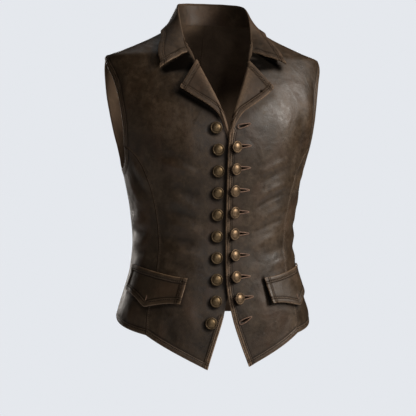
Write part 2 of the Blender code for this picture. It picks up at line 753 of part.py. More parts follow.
def fastened_button(number, x, tree):
    """A button that comes up through the wearer's left front, tilted by the pull of its hole."""
    tilt = math.radians(FASTENED_TILT)
    foot, normal, sideways = seat(tree, x, HOLE_TOP - BUTTON_PITCH * (number - 1), False)
    axis = normal * math.cos(tilt) + sideways * math.sin(tilt)
    disc = [ButtonRing(ring.radius, ring.rise + FASTENED_STAND) for ring in BUTTON_DISC]
    shank = [
        ButtonRing(FASTENED_SHANK_RADIUS, FASTENED_SHANK_FOOT),
        ButtonRing(FASTENED_SHANK_RADIUS, disc[0].rise - SEAM_GAP),
    ]
    turned_piece(
        f"button_left_{number:02d}", foot, axis, [*shank, *disc], BUTTON_TOP + FASTENED_STAND, METAL_FINISH
    )


def hole_half_width(phase):
    """How far a hole's cord lies from its middle line: full at the button and pointed at the far end."""
    fullness = abs(math.sin(phase)) ** HOLE_BLUNTNESS * (1 - HOLE_POINTING * (1 + math.cos(phase)))
    return math.copysign(fullness * HOLE_WIDTH / 2, math.sin(phase))


def buttonhole(number, row, tree):
    """A corded buttonhole: one closed loop of cord, round at the button's end and pointed at the other."""
    height, turned = HOLE_TOP - BUTTON_PITCH * (number - 1), math.radians(row.hole_turn)
    middle, half_length = (row.hole_start + row.hole_end) / 2, (row.hole_end - row.hole_start) / 2
    pivot = middle if row.fastened_x is None else row.fastened_x
    centres, normals = [], []
    for step in range(HOLE_STEPS):
        phase = 2 * math.pi * step / HOLE_STEPS
        run, width = middle - pivot + math.cos(phase) * half_length, hole_half_width(phase)
        across = run * math.cos(turned) - width * math.sin(turned)
        climb = run * math.sin(turned) + width * math.cos(turned)
        point, normal, _ = seat(tree, pivot + across, height + climb, False)
        centres.append(point + normal * (CORD_RADIUS + CORD_GAP))
        normals.append(normal)
    points, faces = [], []
    for step, (centre, normal) in enumerate(zip(centres, normals)):
        beside = unit(np.cross(centres[(step + 1) % HOLE_STEPS] - centres[step - 1], normal))
        here, ahead = step * CORD_SIDES, (step + 1) % HOLE_STEPS * CORD_SIDES
        for corner in range(CORD_SIDES):
            around, following = 2 * math.pi * corner / CORD_SIDES, (corner + 1) % CORD_SIDES
            offset = normal * math.cos(around) + beside * math.sin(around)
            points.append(centre + offset * CORD_RADIUS)
            faces.append((here + corner, ahead + corner, ahead + following, here + following))
    new_object(f"buttonhole_{number:02d}", points, faces, CORD_FINISH)


def main():
    """Clears the scene and builds every piece of the vest."""
    for obj in list(bpy.data.objects):
        bpy.data.objects.remove(obj)
    over, under, flank, back = front_faces(False), front_faces(True), side_faces(), back_faces()
    over_tree = tree_of([over[0], flank[0]])
    under_tree = tree_of([under[0], flank[0]])
    flap = flap_faces(over_tree)
    back_neck_rows = ARMHOLE_ROWS - YOKE_ROWS + 1
    collar_halves = []
    for label, side, front, tree in (("left", 1, over, over_tree), ("right", -1, under, under_tree)):
        neck_line = np.concatenate([back[1][-back_neck_rows:, -1], front[1][:-ARMHOLE_ROWS:-1, 0]])
        collar_halves.append(collar_half(side, tree_of([front[0], flank[0], back[0]]), neck_line))
        pieces = (
            ("front", front, PANEL_FINISH),
            ("side_front", flank, PANEL_FINISH),
            ("back", back, PANEL_FINISH),
            ("pocket_flap", flap, PANEL_FINISH),
            ("lapel", lapel(side, front[0], tree), COLLAR_FINISH),
        )
        for name, (outer, inner), finish in pieces:
            wall(f"{name}_{label}", on_side(outer, side), on_side(inner, side), finish)
    wall("collar", *collar_faces(collar_halves), COLLAR_FINISH)
    for number, row in enumerate(FASTENERS, start=1):
        sewn_button(number, row.sewn_x, under_tree)
        buttonhole(number, row, over_tree)
        if row.fastened_x is not None:
            fastened_button(number, row.fastened_x, over_tree)


main()
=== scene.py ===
"""The looks of a worn leather vest: grained and rubbed hide, stitched edges, domed buttons and corded holes.

Tables are in millimetres and degrees. An angle runs round the body from 0 at the front, through 90 at the
side, to 180 at the back, and each half of the vest is made on the wearer's left and mirrored for the right.
"""

import logging
import math
from dataclasses import dataclass, field
from enum import Enum

import bpy
import numpy as np
from mathutils import Matrix, Vector
from mathutils.bvhtree import BVHTree


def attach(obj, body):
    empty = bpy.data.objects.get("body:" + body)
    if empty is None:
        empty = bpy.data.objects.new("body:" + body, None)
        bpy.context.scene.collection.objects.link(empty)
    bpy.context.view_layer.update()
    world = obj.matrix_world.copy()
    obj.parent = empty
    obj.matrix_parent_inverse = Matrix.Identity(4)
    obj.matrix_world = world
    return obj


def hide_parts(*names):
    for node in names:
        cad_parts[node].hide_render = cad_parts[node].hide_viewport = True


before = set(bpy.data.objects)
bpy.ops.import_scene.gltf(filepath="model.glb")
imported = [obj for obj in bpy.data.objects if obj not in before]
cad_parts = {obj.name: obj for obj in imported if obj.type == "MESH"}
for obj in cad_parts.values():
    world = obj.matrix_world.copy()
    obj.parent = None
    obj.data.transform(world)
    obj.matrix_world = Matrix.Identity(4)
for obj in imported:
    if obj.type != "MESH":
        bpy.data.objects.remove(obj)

Array = np.ndarray
Material, Object, Socket = bpy.types.Material, bpy.types.Object, bpy.types.NodeSocket
LOG = logging.getLogger("vest")
MM = 0.001
BODY = "root"

LEATHER = 2.4
EDGE_BAND = 9.5
EDGE_STEP = 1.6
EDGE_RISE = 0.9
STITCH_FROM_EDGE = 8.0
SECOND_STITCH_FROM_EDGE = 3.7
STITCH_FROM_SEAM = 3.0

# Half width, front depth, back depth and squareness of the worn form at each height.
SECTIONS = (
    (-650, 190, 114, 110, 2.2),
    (-590, 191, 117, 114, 2.2),
    (-525, 188, 118, 116, 2.2),
    (-470, 173, 116, 110, 2.2),
    (-430, 162, 114, 104, 2.25),
    (-380, 157, 112, 100, 2.3),
    (-320, 162, 118, 104, 2.3),
    (-270, 171, 125, 112, 2.25),
    (-225, 182, 130, 121, 2.2),
    (-200, 191, 131, 125, 2.15),
    (-168, 203, 130, 128, 2.1),
    (-130, 213, 124, 130, 2.05),
    (-92, 218, 111, 129, 2.0),
    (-60, 217, 94, 125, 2.0),
    (-27, 211, 73, 118, 2.0),
    (-14, 181, 64, 114, 2.0),
    (-5, 160, 57, 110, 2.0),
    (11, 124.5, 44, 102, 2.0),
    (26, 97.5, 32, 94, 2.0),
    (42, 73, 14, 84, 2.0),
    (60, 62, 6, 77, 2.0),
)

# The front edges as x and height, from the hem's point up to the neck, for the upper front and the lower one.
OVER_EDGE = (
    (43.5, -617), (27, -575), (10.5, -525), (3, -491), (-1, -460), (-2, -425),
    (-2, -350), (-2, -250), (-1.5, -215),
)
UNDER_EDGE = (
    (37, -622), (22.5, -575), (7, -525), (-1, -491), (-12, -460), (-19, -425),
    (-21, -350), (-20, -250), (-16, -215),
)
OVER_BREAK = ((-1.5, -215), (-0.3, -197), (1.8, -180), (7, -165))
UNDER_BREAK = ((-16, -215), (-9, -197), (-0.5, -180), (6, -165))
NECK_EDGE = (
    (14.5, -137), (26, -108), (37, -82), (53, -41), (57.5, -30), (63, -19),
    (69, -5), (74, 11), (76.5, 26), (76.5, 36),
)

# Boundaries over the form, as angle and height.
NECK_BEFORE_SEAM = (80, 41)
NECK_SIDE = (100, 41.5)
SHOULDER_TIP = (100, -26)
PRINCESS_SEAM = (
    (49, -557), (49, -510), (49, -460), (48.5, -398), (49.3, -342),
    (52.2, -283), (55.5, -250), (60, -226), (66, -208), (71.5, -200),
)
FRONT_ARMHOLE = (
    (71.5, -200), (67.5, -181), (64.8, -158), (63.7, -132), (64.5, -107),
    (66.8, -85), (71.0, -66), (77.0, -50), (86.0, -36), SHOULDER_TIP,
)
SIDE_SEAM = ((100, -527), (100, -455), (100, -300), (99.5, -272), (98, -240))
UNDERARM = ((71.5, -200), (75, -218), (80, -231), (86, -238.5), (92, -241), (98, -240))
BACK_ARMHOLE = (
    (98, -240), (107, -222), (113, -185), (114.5, -143), (112.5, -103), (108.8, -70),
    (104.5, -45), SHOULDER_TIP,
)
CENTRE_BACK = ((180, -524), (180, -330), (180, -130))
BACK_YOKE = ((180, -130), (180, 50))
BACK_NECK = ((180, 50), (164, 49.5), (148, 48.4), (132, 46.6), (116, 44.2), NECK_SIDE)

# A lapel's rows from the break up to its point: fold x and height, then free edge x and height on each side.
LAPEL_ROWS = (
    (0.6, -190, 1.6, -190, 1.4, -190),
    (2.2, -181, 4.4, -180.5, 4.2, -180),
    (4.5, -171, 9.5, -170, 9, -168),
    (7.5, -163, 13, -161, 12, -159.5),
    (10.5, -152, 20, -150, 16, -149),
    (14.5, -137, 29, -139, 22, -139.5),
    (20, -122, 42, -130, 33, -130),
    (26, -108, 56, -121, 46, -121.5),
    (31.5, -95, 68, -113, 59, -113.5),
    (37, -82, 79.5, -104.5, 71, -105.5),
    (42, -69.5, 87, -98, 80, -99.5),
    (47.5, -55, 91, -94, 85, -96),
    (53, -42, 92, -91.5, 87, -94),
)
# How far each lapel row has come up out of the edge, for as long as it isn't full.
LAPEL_START = (0.0, 0.3, 0.62, 0.85)
# Across a lapel: share of its width, reach past the fold and rise of its outer face.
LAPEL_ROLL = (
    (0.0, 3.1, -1.4), (0.0, 4.3, 1.2), (0.0, 3.1, 4.3), (0.0, -0.4, 6.3), (0.22, 0.0, 7.0),
    (0.42, 0.0, 7.0), (0.62, 0.0, 7.1), (0.82, 0.0, 7.6), (1.0, 0.0, 8.4),
)
# How far from a lapel's top and from its free edge the fine rows and columns lie, in coarse steps.
LAPEL_TOP_PLACES = (0.0, 0.02, 0.06, 0.13, 0.22, 0.36, 0.52, 0.66, 0.76, 0.86, 0.98, 1.15)
LAPEL_EDGE_PLACES = (0.0, 0.012, 0.045, 0.1, 0.17, 0.28, 0.42, 0.55, 0.63, 0.7, 0.78, 0.9, 1.05)

# The collar from the centre back to its point: neck mark, fold, free edge on each side, edge rise and bulge.
COLLAR_ROWS = (
    ((180, 50.0), (0, 83, 97), (180, 35), (180, 35), 6.0, 2.0),
    ((168, 49.7), (17, 81, 96.5), (168, 35), (168, 35), 6.0, 2.0),
    ((155, 48.9), (34, 74, 95.5), (155, 34.5), (155, 34.5), 6.0, 2.0),
    ((141, 47.6), (48, 62, 93), (142, 33.5), (142, 33.5), 5.5, 2.0),
    ((126, 45.7), (58, 46, 90), (129, 32), (129, 32), 5.0, 2.0),
    ((113, 43.8), (63, 30, 86), (115, 30), (115, 30), 4.5, 1.0),
    (NECK_SIDE, (65.5, 14, 80.5), (101, 27), (102, 27), 4.2, -1.5),
    (NECK_BEFORE_SEAM, (67, 2, 71), (74, 22), (79, 21), 3.8, -4.0),
    ((65, 36.5), (67.5, -8, 61), (58.5, 14), (63.5, 14), 3.8, -3.5),
    ((50.3, 26.5), (66.5, -20, 43), (47.5, 2), (49.5, 1), 4.6, -1.0),
    ((36.1, 12.0), (65, -32, 23), (40, -11), (41, -13), 6.4, 2.0),
    ((25.2, -5.0), (62.5, -43, 3), (34.8, -23), (34.8, -28), 8.4, 3.6),
    ((18.3, -22.0), (60.3, -50, -10), (33.9, -35.5), (33.4, -45), 11.6, 4.6),
    ((14.5, -38.5), (58.5, -56, -19), (34.2, -48), (33.5, -60), 15.4, 5.6),
)
# How far from the collar's ends and from its free edge the fine rows and columns lie, in coarse steps.
COLLAR_END_PLACES = (0.0, 0.01, 0.035, 0.08, 0.14, 0.24, 0.36, 0.48, 0.56, 0.62, 0.7, 0.82, 1.0)
COLLAR_EDGE_PLACES = (0.0, 0.012, 0.05, 0.11, 0.18, 0.3, 0.44, 0.6, 0.74, 0.86, 0.96, 1.06, 1.2, 1.4)

# The lower end of the painted shadow between a collar's end and a lapel, as x and height.
SHADED_NOTCH = (62, -49)

# A pocket flap's rows from its inner end round to its outer end: top angle and height, foot angle and height.
FLAP_ROWS = (
    (25.4, -450, 27.8, -498.5), (29.0, -448.5, 30.5, -497.5), (33.0, -447, 34.5, -497.5),
    (38.0, -444.5, 39.0, -498.5), (43.0, -441.5, 43.5, -500.5), (47.5, -439, 47.7, -503),
    (51.5, -436.5, 51.5, -504), (56.0, -434, 55.7, -497), (61.0, -431.5, 60.5, -489),
    (66.0, -429, 65.5, -483), (71.0, -427, 70.5, -478.5), (76.0, -425.5, 75.5, -475.5),
    (81.0, -424.5, 80.5, -473.5),
)

# For each button and hole, from the neck down: sewn x, fastened x, the hole's start and end, and its turn.
FASTENERS = (
    (-24, None, 17, 43, 15),
    (-20, 10, 7, 43, 5),
    (-19.3, 9.5, 6.5, 42.5, 4),
    (-19, 8.5, 5.5, 41.5, 2),
    (-18.5, 9, 6, 42, 1),
    (-18.5, 10, 7, 43, 1),
    (-19, 11, 8, 44, 1),
    (-19.8, 12.5, 9.5, 45.5, 2),
    (-21.5, 18.5, 15.5, 51, 6),
    (-31, None, 22.5, 48.5, 27),
)
BUTTON_PITCH = 40.6
SEWN_TOP = -168.5
HOLE_TOP = -163.5
# How far a fastened button leans towards its hole, in degrees, and how far it stands off its seat.
FASTENED_LEAN = 26.0
FASTENED_STAND = 5.4


class Side(Enum):
    """The wearer's two sides. The value is the sign of x there."""

    LEFT = 1
    RIGHT = -1

    @property
    def label(self) -> str:
        """The side's word in the names of nodes."""
        return self.name.lower()


class EdgeKind(Enum):
    """How a border of a panel is finished."""

    TURNED = "turned and stitched once"
    DOUBLE = "turned and stitched twice"
    RUBBED = "turned, stitched twice and rubbed light by the buttoning"
    SEAM = "seam with stitching beside it"
    QUIET_SEAM = "seam without stitching on this side"
    PLAIN = "plain, under another piece"

    @property
    def stitch_rows(self) -> tuple:
        """How far each row of stitches runs from the border.

        Returns:
            A distance for each row.
        """
        rows = {
            EdgeKind.TURNED: (STITCH_FROM_EDGE,),
            EdgeKind.DOUBLE: (SECOND_STITCH_FROM_EDGE, STITCH_FROM_EDGE),
            EdgeKind.RUBBED: (SECOND_STITCH_FROM_EDGE, STITCH_FROM_EDGE),
            EdgeKind.SEAM: (STITCH_FROM_SEAM,),
        }
        return rows.get(self, ())

    @property
    def is_turned(self) -> bool:
        """Whether the leather is turned under at the border."""
        return self in (EdgeKind.TURNED, EdgeKind.DOUBLE, EdgeKind.RUBBED)


class Slot(Enum):
    """The record's material slots."""

    PANEL = "panel_leather"
    COLLAR = "collar_leather"
    METAL = "button_metal"
    CORD = "hole_cord"


def smooth(knots: Array, values: Array, at: Array) -> Array:
    """Cubic through a table's rows that never overshoots them.

    Args:
        knots: Where the rows stand, rising.
        values: One row of numbers for each knot.
        at: Where the curve is wanted.

    Returns:
        The curve's rows at those places.
    """
    knots, values, at = (np.asarray(item, float) for item in (knots, values, at))
    step = np.diff(knots).reshape((-1,) + (1,) * (values.ndim - 1))
    slope = np.diff(values, axis=0) / step
    before, after = slope[:-1], slope[1:]
    agree = before * after > 0
    inner = np.where(agree, 2 * before * after / np.where(agree, before + after, 1.0), 0.0)
    tangent = np.concatenate([slope[:1], inner, slope[-1:]])
    index = np.clip(np.searchsorted(knots, at, side="right") - 1, 0, len(knots) - 2)
    width = np.diff(knots)[index]
    share = (at - knots[index]) / width
    if values.ndim > 1:
        grow = (...,) + (None,) * (values.ndim - 1)
        share, width = share[grow], width[grow]
    start, end = values[index], values[index + 1]
    return (
        start * (1 + 2 * share) * (1 - share) ** 2
        + tangent[index] * width * share * (1 - share) ** 2
        + end * share**2 * (3 - 2 * share)
        + tangent[index + 1] * width * share**2 * (share - 1)
    )


def rounded(values: Array, at: Array) -> Array:
    """Rows of a control grid between its own rows, on a curve that rounds each corner.

    Args:
        values: Control rows.
        at: Fractional row numbers.

    Returns:
        The rows there.
    """
    index = np.clip(np.floor(at).astype(int), 0, len(values) - 2)
    share = (at - index).reshape((-1,) + (1,) * (values.ndim - 1))
    padded = np.concatenate([2 * values[:1] - values[1:2], values, 2 * values[-1:] - values[-2:-1]])
    before, start, end, after = (padded[index + step] for step in range(4))
    return 0.5 * (
        2 * start
        + (end - before) * share
        + (2 * before - 5 * start + 4 * end - after) * share**2
        + (3 * start - before - 3 * end + after) * share**3
    )


def ease(value: Array) -> Array:
    """0 below 0, 1 above 1, and a smooth step between."""
    value = np.clip(value, 0, 1)
    return value * value * (3 - 2 * value)


def bell(distance: Array, width: float) -> Array:
    """1 at no distance, and fading to both sides over this width."""
    return np.exp(-((distance / width) ** 2))


def unit(vectors: Array) -> Array:
    """The same directions with length 1."""
    return vectors / np.maximum(np.linalg.norm(vectors, axis=-1, keepdims=True), 1e-12)


def on_side(points: Array, side: Side) -> Array:
    """Points made for the wearer's left, mirrored if the side is the right."""
    return points * np.array([side.value, 1.0, 1.0])


def lengths_along(line: Array) -> Array:
    """How far each point of a line lies along it."""
    return np.concatenate([[0], np.cumsum(np.linalg.norm(np.diff(line, axis=0), axis=1))])


def distance_to(line: Array, points: Array) -> Array:
    """How far each point lies from a line of points.

    Args:
        line: The line's points.
        points: Points in any shape, with x, y and z last.

    Returns:
        A distance for each point.
    """
    flat = points.reshape(-1, 3)
    start, step = line[:-1], np.diff(line, axis=0)
    square = np.maximum((step**2).sum(-1), 1e-12)
    found = np.empty(len(flat))
    for first in range(0, len(flat), 2000):
        away = flat[first : first + 2000, None] - start
        share = np.clip((away * step).sum(-1) / square, 0, 1)
        gap = np.linalg.norm(away - step * share[..., None], axis=-1)
        found[first : first + 2000] = gap.min(axis=1)
    return found.reshape(points.shape[:-1])


def graded(length: float, start: tuple, end: tuple, step: float) -> Array:
    """Places along a length: given ones near both ends, and even ones between.

    Args:
        length: The whole length.
        start: Distances from the start, from 0 up.
        end: Distances from the end, from 0 up.
        step: About how far apart the places between are.

    Returns:
        The places, rising from 0 to the length.
    """
    low, high = start[-1], length - end[-1]
    count = max(int(round((high - low) / step)), 1)
    between = np.linspace(low, high, count + 1)[1:-1]
    return np.concatenate([start, between, length - np.array(end[::-1])])


@dataclass(frozen=True)
class WornForm:
    """The form that the vest keeps, which is the outer face of its leather."""

    sections: tuple = SECTIONS
    normal_step: float = 0.05

    def section(self, height: Array) -> Array:
        """Half width, front depth, back depth and squareness at a height."""
        rows = np.array(self.sections, float)
        return np.moveaxis(smooth(rows[:, 0], rows[:, 1:], height), -1, 0)

    def points(self, angle: Array, height: Array) -> Array:
        """Points of the form at angles and heights.

        Args:
            angle: Angles round the body.
            height: Heights.

        Returns:
            A point for each.
        """
        angle, height = np.broadcast_arrays(np.asarray(angle, float), np.asarray(height, float))
        half_width, front, back, power = self.section(height)
        sine, cosine = np.sin(np.radians(angle)), np.cos(np.radians(angle))
        reach = (np.abs(sine) ** power + np.abs(cosine) ** power) ** (-1 / power)
        depth = np.where(cosine > 0, front, back)
        return np.stack([half_width * reach * sine, -depth * reach * cosine, height], -1)

    def normals(self, angle: Array, height: Array) -> Array:
        """Unit normals of the form, pointing out of the body.

        Args:
            angle: Angles round the body.
            height: Heights.

        Returns:
            A normal for each.
        """
        step = self.normal_step
        round_body = self.points(np.add(angle, step), height) - self.points(np.subtract(angle, step), height)
        up_body = self.points(angle, np.add(height, step)) - self.points(angle, np.subtract(height, step))
        return unit(np.cross(round_body, up_body))

    def angle_at(self, x: Array, height: Array) -> Array:
        """The angle on the front half at which the form has this x.

        Args:
            x: Places from side to side.
            height: Heights.

        Returns:
            An angle for each.
        """
        x, height = np.broadcast_arrays(np.asarray(x, float), np.asarray(height, float))
        half_width, _, _, power = self.section(height)
        share = np.clip(np.abs(x) / half_width, 0, 0.9999)
        return np.degrees(np.arctan2(share, (1 - share**power) ** (1 / power))) * np.sign(x)

    def along(self, marks: Array, shares: Array) -> Array:
        """Marks at shares of the length of a boundary over the form.

        Args:
            marks: The boundary's own marks, angle and height.
            shares: Shares of its length.

        Returns:
            A mark for each share.
        """
        marks = np.asarray(marks, float)
        fine = smooth(np.arange(len(marks)), marks, np.linspace(0, len(marks) - 1, 600))
        length = lengths_along(self.points(fine[:, 0], fine[:, 1]))
        at = np.asarray(shares) * length[-1]
        return np.stack([np.interp(at, length, fine[:, 0]), np.interp(at, length, fine[:, 1])], -1)

    def length_of(self, marks: Array) -> float:
        """The length of a boundary over the form."""
        fine = self.along(marks, np.linspace(0, 1, 200))
        return float(lengths_along(self.points(fine[:, 0], fine[:, 1]))[-1])


FORM = WornForm()


def front_marks(places: list | tuple) -> list:
    """Angle and height of places on the front half that are given as x and height."""
    return [(float(FORM.angle_at(x, height)), height) for x, height in places]


@dataclass(frozen=True)
class Crease:
    """A soft trough or ridge in the leather, from one mark to another, that fades out over its width."""

    start: tuple[float, float]
    end: tuple[float, float]
    width: float
    rise: float
    bow: float = 0.0
    mm_per_degree: float = 2.7
    fade: float = 0.35

    @classmethod
    def from_rows(cls, rows: tuple) -> tuple:
        """The creases of a table's rows."""
        return tuple(cls(row[:2], row[2:4], *row[4:]) for row in rows)

    def lift(self, angle: Array, height: Array) -> Array:
        """How far the crease raises the leather at marks over the form.

        Args:
            angle: Angles round the body.
            height: Heights.

        Returns:
            The rise at each mark, below zero in a trough.
        """
        start = np.array([self.start[0] * self.mm_per_degree, self.start[1]])
        run = np.array([self.end[0] * self.mm_per_degree, self.end[1]]) - start
        length = np.linalg.norm(run)
        along_run = run / length
        across, up = angle * self.mm_per_degree - start[0], height - start[1]
        share = (across * along_run[0] + up * along_run[1]) / length
        inside = np.clip(share, 0, 1)
        off = up * along_run[0] - across * along_run[1] - self.bow * 4 * inside * (1 - inside)
        return self.rise * bell(off, self.width) * ease(share / self.fade) * ease((1 - share) / self.fade)


# Each crease of a side: its start and its end as angle and height, then its width, rise and bow.
LEFT_CREASES = (
    (30, -96, 37, -236, 22, 2.0, 6), (50, -70, 57, -168, 13, 1.3, -4),
    (58, -58, 61, -120, 7, -1.2, 3), (45, -132, 51, -222, 8, -1.1, 5),
    (17, -262, 42, -226, 8, 1.2, 4), (19, -278, 46, -240, 7, -1.2, 5),
    (17, -312, 46, -270, 9, 1.7, 6), (16, -328, 49, -284, 7, -1.6, 7),
    (18, -352, 50, -312, 9, 1.6, 5), (17, -370, 52, -334, 7, -1.5, 6),
    (16, -398, 44, -366, 8, 1.2, 4), (24, -412, 56, -392, 7, -1.4, 5),
    (30, -430, 60, -414, 7, 1.0, 3), (68, -214, 48, -262, 7, -1.8, 5),
    (72, -226, 50, -292, 8, 1.8, 7), (80, -240, 54, -314, 7, -1.7, 8),
    (92, -250, 66, -322, 9, 1.6, 6), (54, -352, 96, -338, 8, -1.8, -5),
    (56, -370, 98, -362, 8, 1.6, -4), (54, -390, 97, -386, 7, -1.5, -4),
    (60, -410, 99, -408, 8, 1.1, -3), (24, -470, 14, -560, 12, 1.2, 5),
    (40, -512, 30, -578, 10, -1.0, 4), (66, -498, 78, -540, 10, 1.2, 4),
    (104, -236, 126, -292, 9, -1.8, 7), (110, -222, 138, -300, 10, 1.9, 8),
    (118, -232, 150, -322, 8, -1.5, 9), (104, -336, 168, -352, 9, -2.0, 6),
    (102, -358, 172, -376, 10, 1.9, 6), (106, -382, 166, -398, 8, -1.7, 5),
    (112, -404, 160, -416, 9, 1.2, 4), (122, -60, 150, -132, 14, 1.6, 8),
    (132, -44, 166, -96, 10, -1.2, 6), (140, -440, 132, -516, 13, 1.5, 6),
    (158, -432, 160, -520, 14, -1.4, -5),
)
RIGHT_CREASES = (
    (20, -150, 27, -262, 20, 1.7, -5), (38, -100, 44, -210, 16, 1.2, 5),
    (54, -64, 60, -150, 9, 1.2, 4), (60, -70, 62, -128, 6, -1.2, 2),
    (15, -250, 44, -214, 8, -1.1, 5), (14, -268, 45, -232, 8, 1.3, 6),
    (16, -302, 40, -276, 8, -1.2, 3), (15, -330, 42, -300, 10, 1.5, 5),
    (17, -346, 47, -322, 7, -1.3, 5), (14, -374, 44, -346, 9, 1.4, 6),
    (18, -392, 48, -372, 7, -1.4, 4), (14, -416, 40, -398, 8, 1.1, 4),
    (20, -436, 42, -424, 7, -1.0, 3), (66, -220, 50, -276, 8, 1.6, 6),
    (72, -236, 52, -302, 7, -1.7, 7), (84, -246, 58, -318, 9, 1.7, 7),
    (95, -262, 72, -330, 8, -1.5, 5), (52, -346, 94, -330, 9, 1.5, -5),
    (55, -364, 98, -352, 7, -1.8, -5), (52, -384, 97, -376, 9, 1.7, -4),
    (58, -402, 98, -400, 7, -1.3, -3), (22, -500, 16, -566, 11, 1.3, 4),
    (36, -518, 28, -584, 10, -1.1, 4), (70, -502, 62, -546, 9, 1.1, -3),
    (106, -230, 130, -300, 9, 1.8, 8), (112, -244, 140, -318, 8, -1.7, 8),
    (104, -346, 170, -340, 10, 1.8, -6), (102, -366, 168, -364, 8, -2.0, -5),
    (106, -388, 172, -388, 10, 1.7, -5), (114, -410, 156, -414, 8, -1.3, -3),
    (118, -70, 144, -144, 13, 1.5, 8), (130, -52, 160, -110, 9, -1.2, 6),
    (126, -448, 134, -518, 12, 1.4, -5), (150, -436, 146, -520, 13, -1.3, 5),
)


@dataclass(frozen=True)
class Drape:
    """How one side of the vest departs from the plain form: its lap at the front and its creases."""

    side: Side
    creases: tuple
    # The lap: its heights, how far it lifts the upper front and sinks the lower one, and how far it fades.
    lap_foot: float = -545.0
    lap_top: float = -150.0
    lap_lift: float = 1.3
    lap_drop: float = 1.7
    lap_reach: float = 26.0
    under_reach: float = 2.0
    lap_fade: float = 34.0
    lap_side: float = 90.0
    foot_fade: float = 40.0
    top_fade: float = 30.0
    # From where the creases fade towards the front edges, the neck and the side seam.
    edge_fade: float = 22.0
    under_edge: float = 3.0
    over_edge: float = 20.0
    neck: float = 38.0
    neck_fade: float = 40.0
    side_seam: float = 92.0
    seam_reach: float = 13.0
    depth: float = 1.25
    # Crease ridges carry rubbed wear and painted highlight, their troughs painted shade.
    ridge_wear_and_highlight: float = 0.035
    trough_painted_shade: float = 0.13

    def folds(self, angle: Array, height: Array) -> Array:
        """How far all creases together raise the leather, fading at the neck and the side seam.

        Args:
            angle: Angles round the body.
            height: Heights.

        Returns:
            The rise at each mark.
        """
        together = self.depth * sum(crease.lift(angle, height) for crease in self.creases)
        away_from_seam = 1 - 0.5 * bell(angle - self.side_seam, self.seam_reach)
        return together * ease((self.neck - height) / self.neck_fade) * away_from_seam

    def lift(self, angle: Array, height: Array) -> Array:
        """How far the leather stands off the form.

        Args:
            angle: Angles round the body.
            height: Heights.

        Returns:
            The rise at each mark.
        """
        angle, height = np.broadcast_arrays(np.asarray(angle, float), np.asarray(height, float))
        x = FORM.points(angle, height)[..., 0]
        above_foot = ease((height - self.lap_foot) / self.foot_fade)
        lapped = above_foot * ease((self.lap_top - height) / self.top_fade) * (angle < self.lap_side)
        folds = self.folds(angle, height)
        if self.side is Side.RIGHT:
            lap = -self.lap_drop * lapped * (1 - ease((x - self.under_reach) / self.lap_fade))
            return lap + folds * ease((x - self.under_edge) / self.edge_fade)
        lap = self.lap_lift * lapped * (1 - ease((x - self.lap_reach) / self.lap_fade))
        return lap + np.where(folds < 0, folds * ease((x - self.over_edge) / self.edge_fade), folds)

    def crease_wear_and_shade(self, angle: Array, height: Array) -> tuple[Array, Array]:
        """How rubbed the creases' ridges are, with painted highlight on them, and how dark the painted shade
        in their troughs is.

        Args:
            angle: Angles round the body.
            height: Heights.

        Returns:
            The share of wear and painted highlight, and the share of painted shade, at each mark.
        """
        folds = self.folds(angle, height)
        return self.ridge_wear_and_highlight * np.clip(folds, 0, 2.5), self.trough_painted_shade * np.clip(-folds, 0, 2.5)


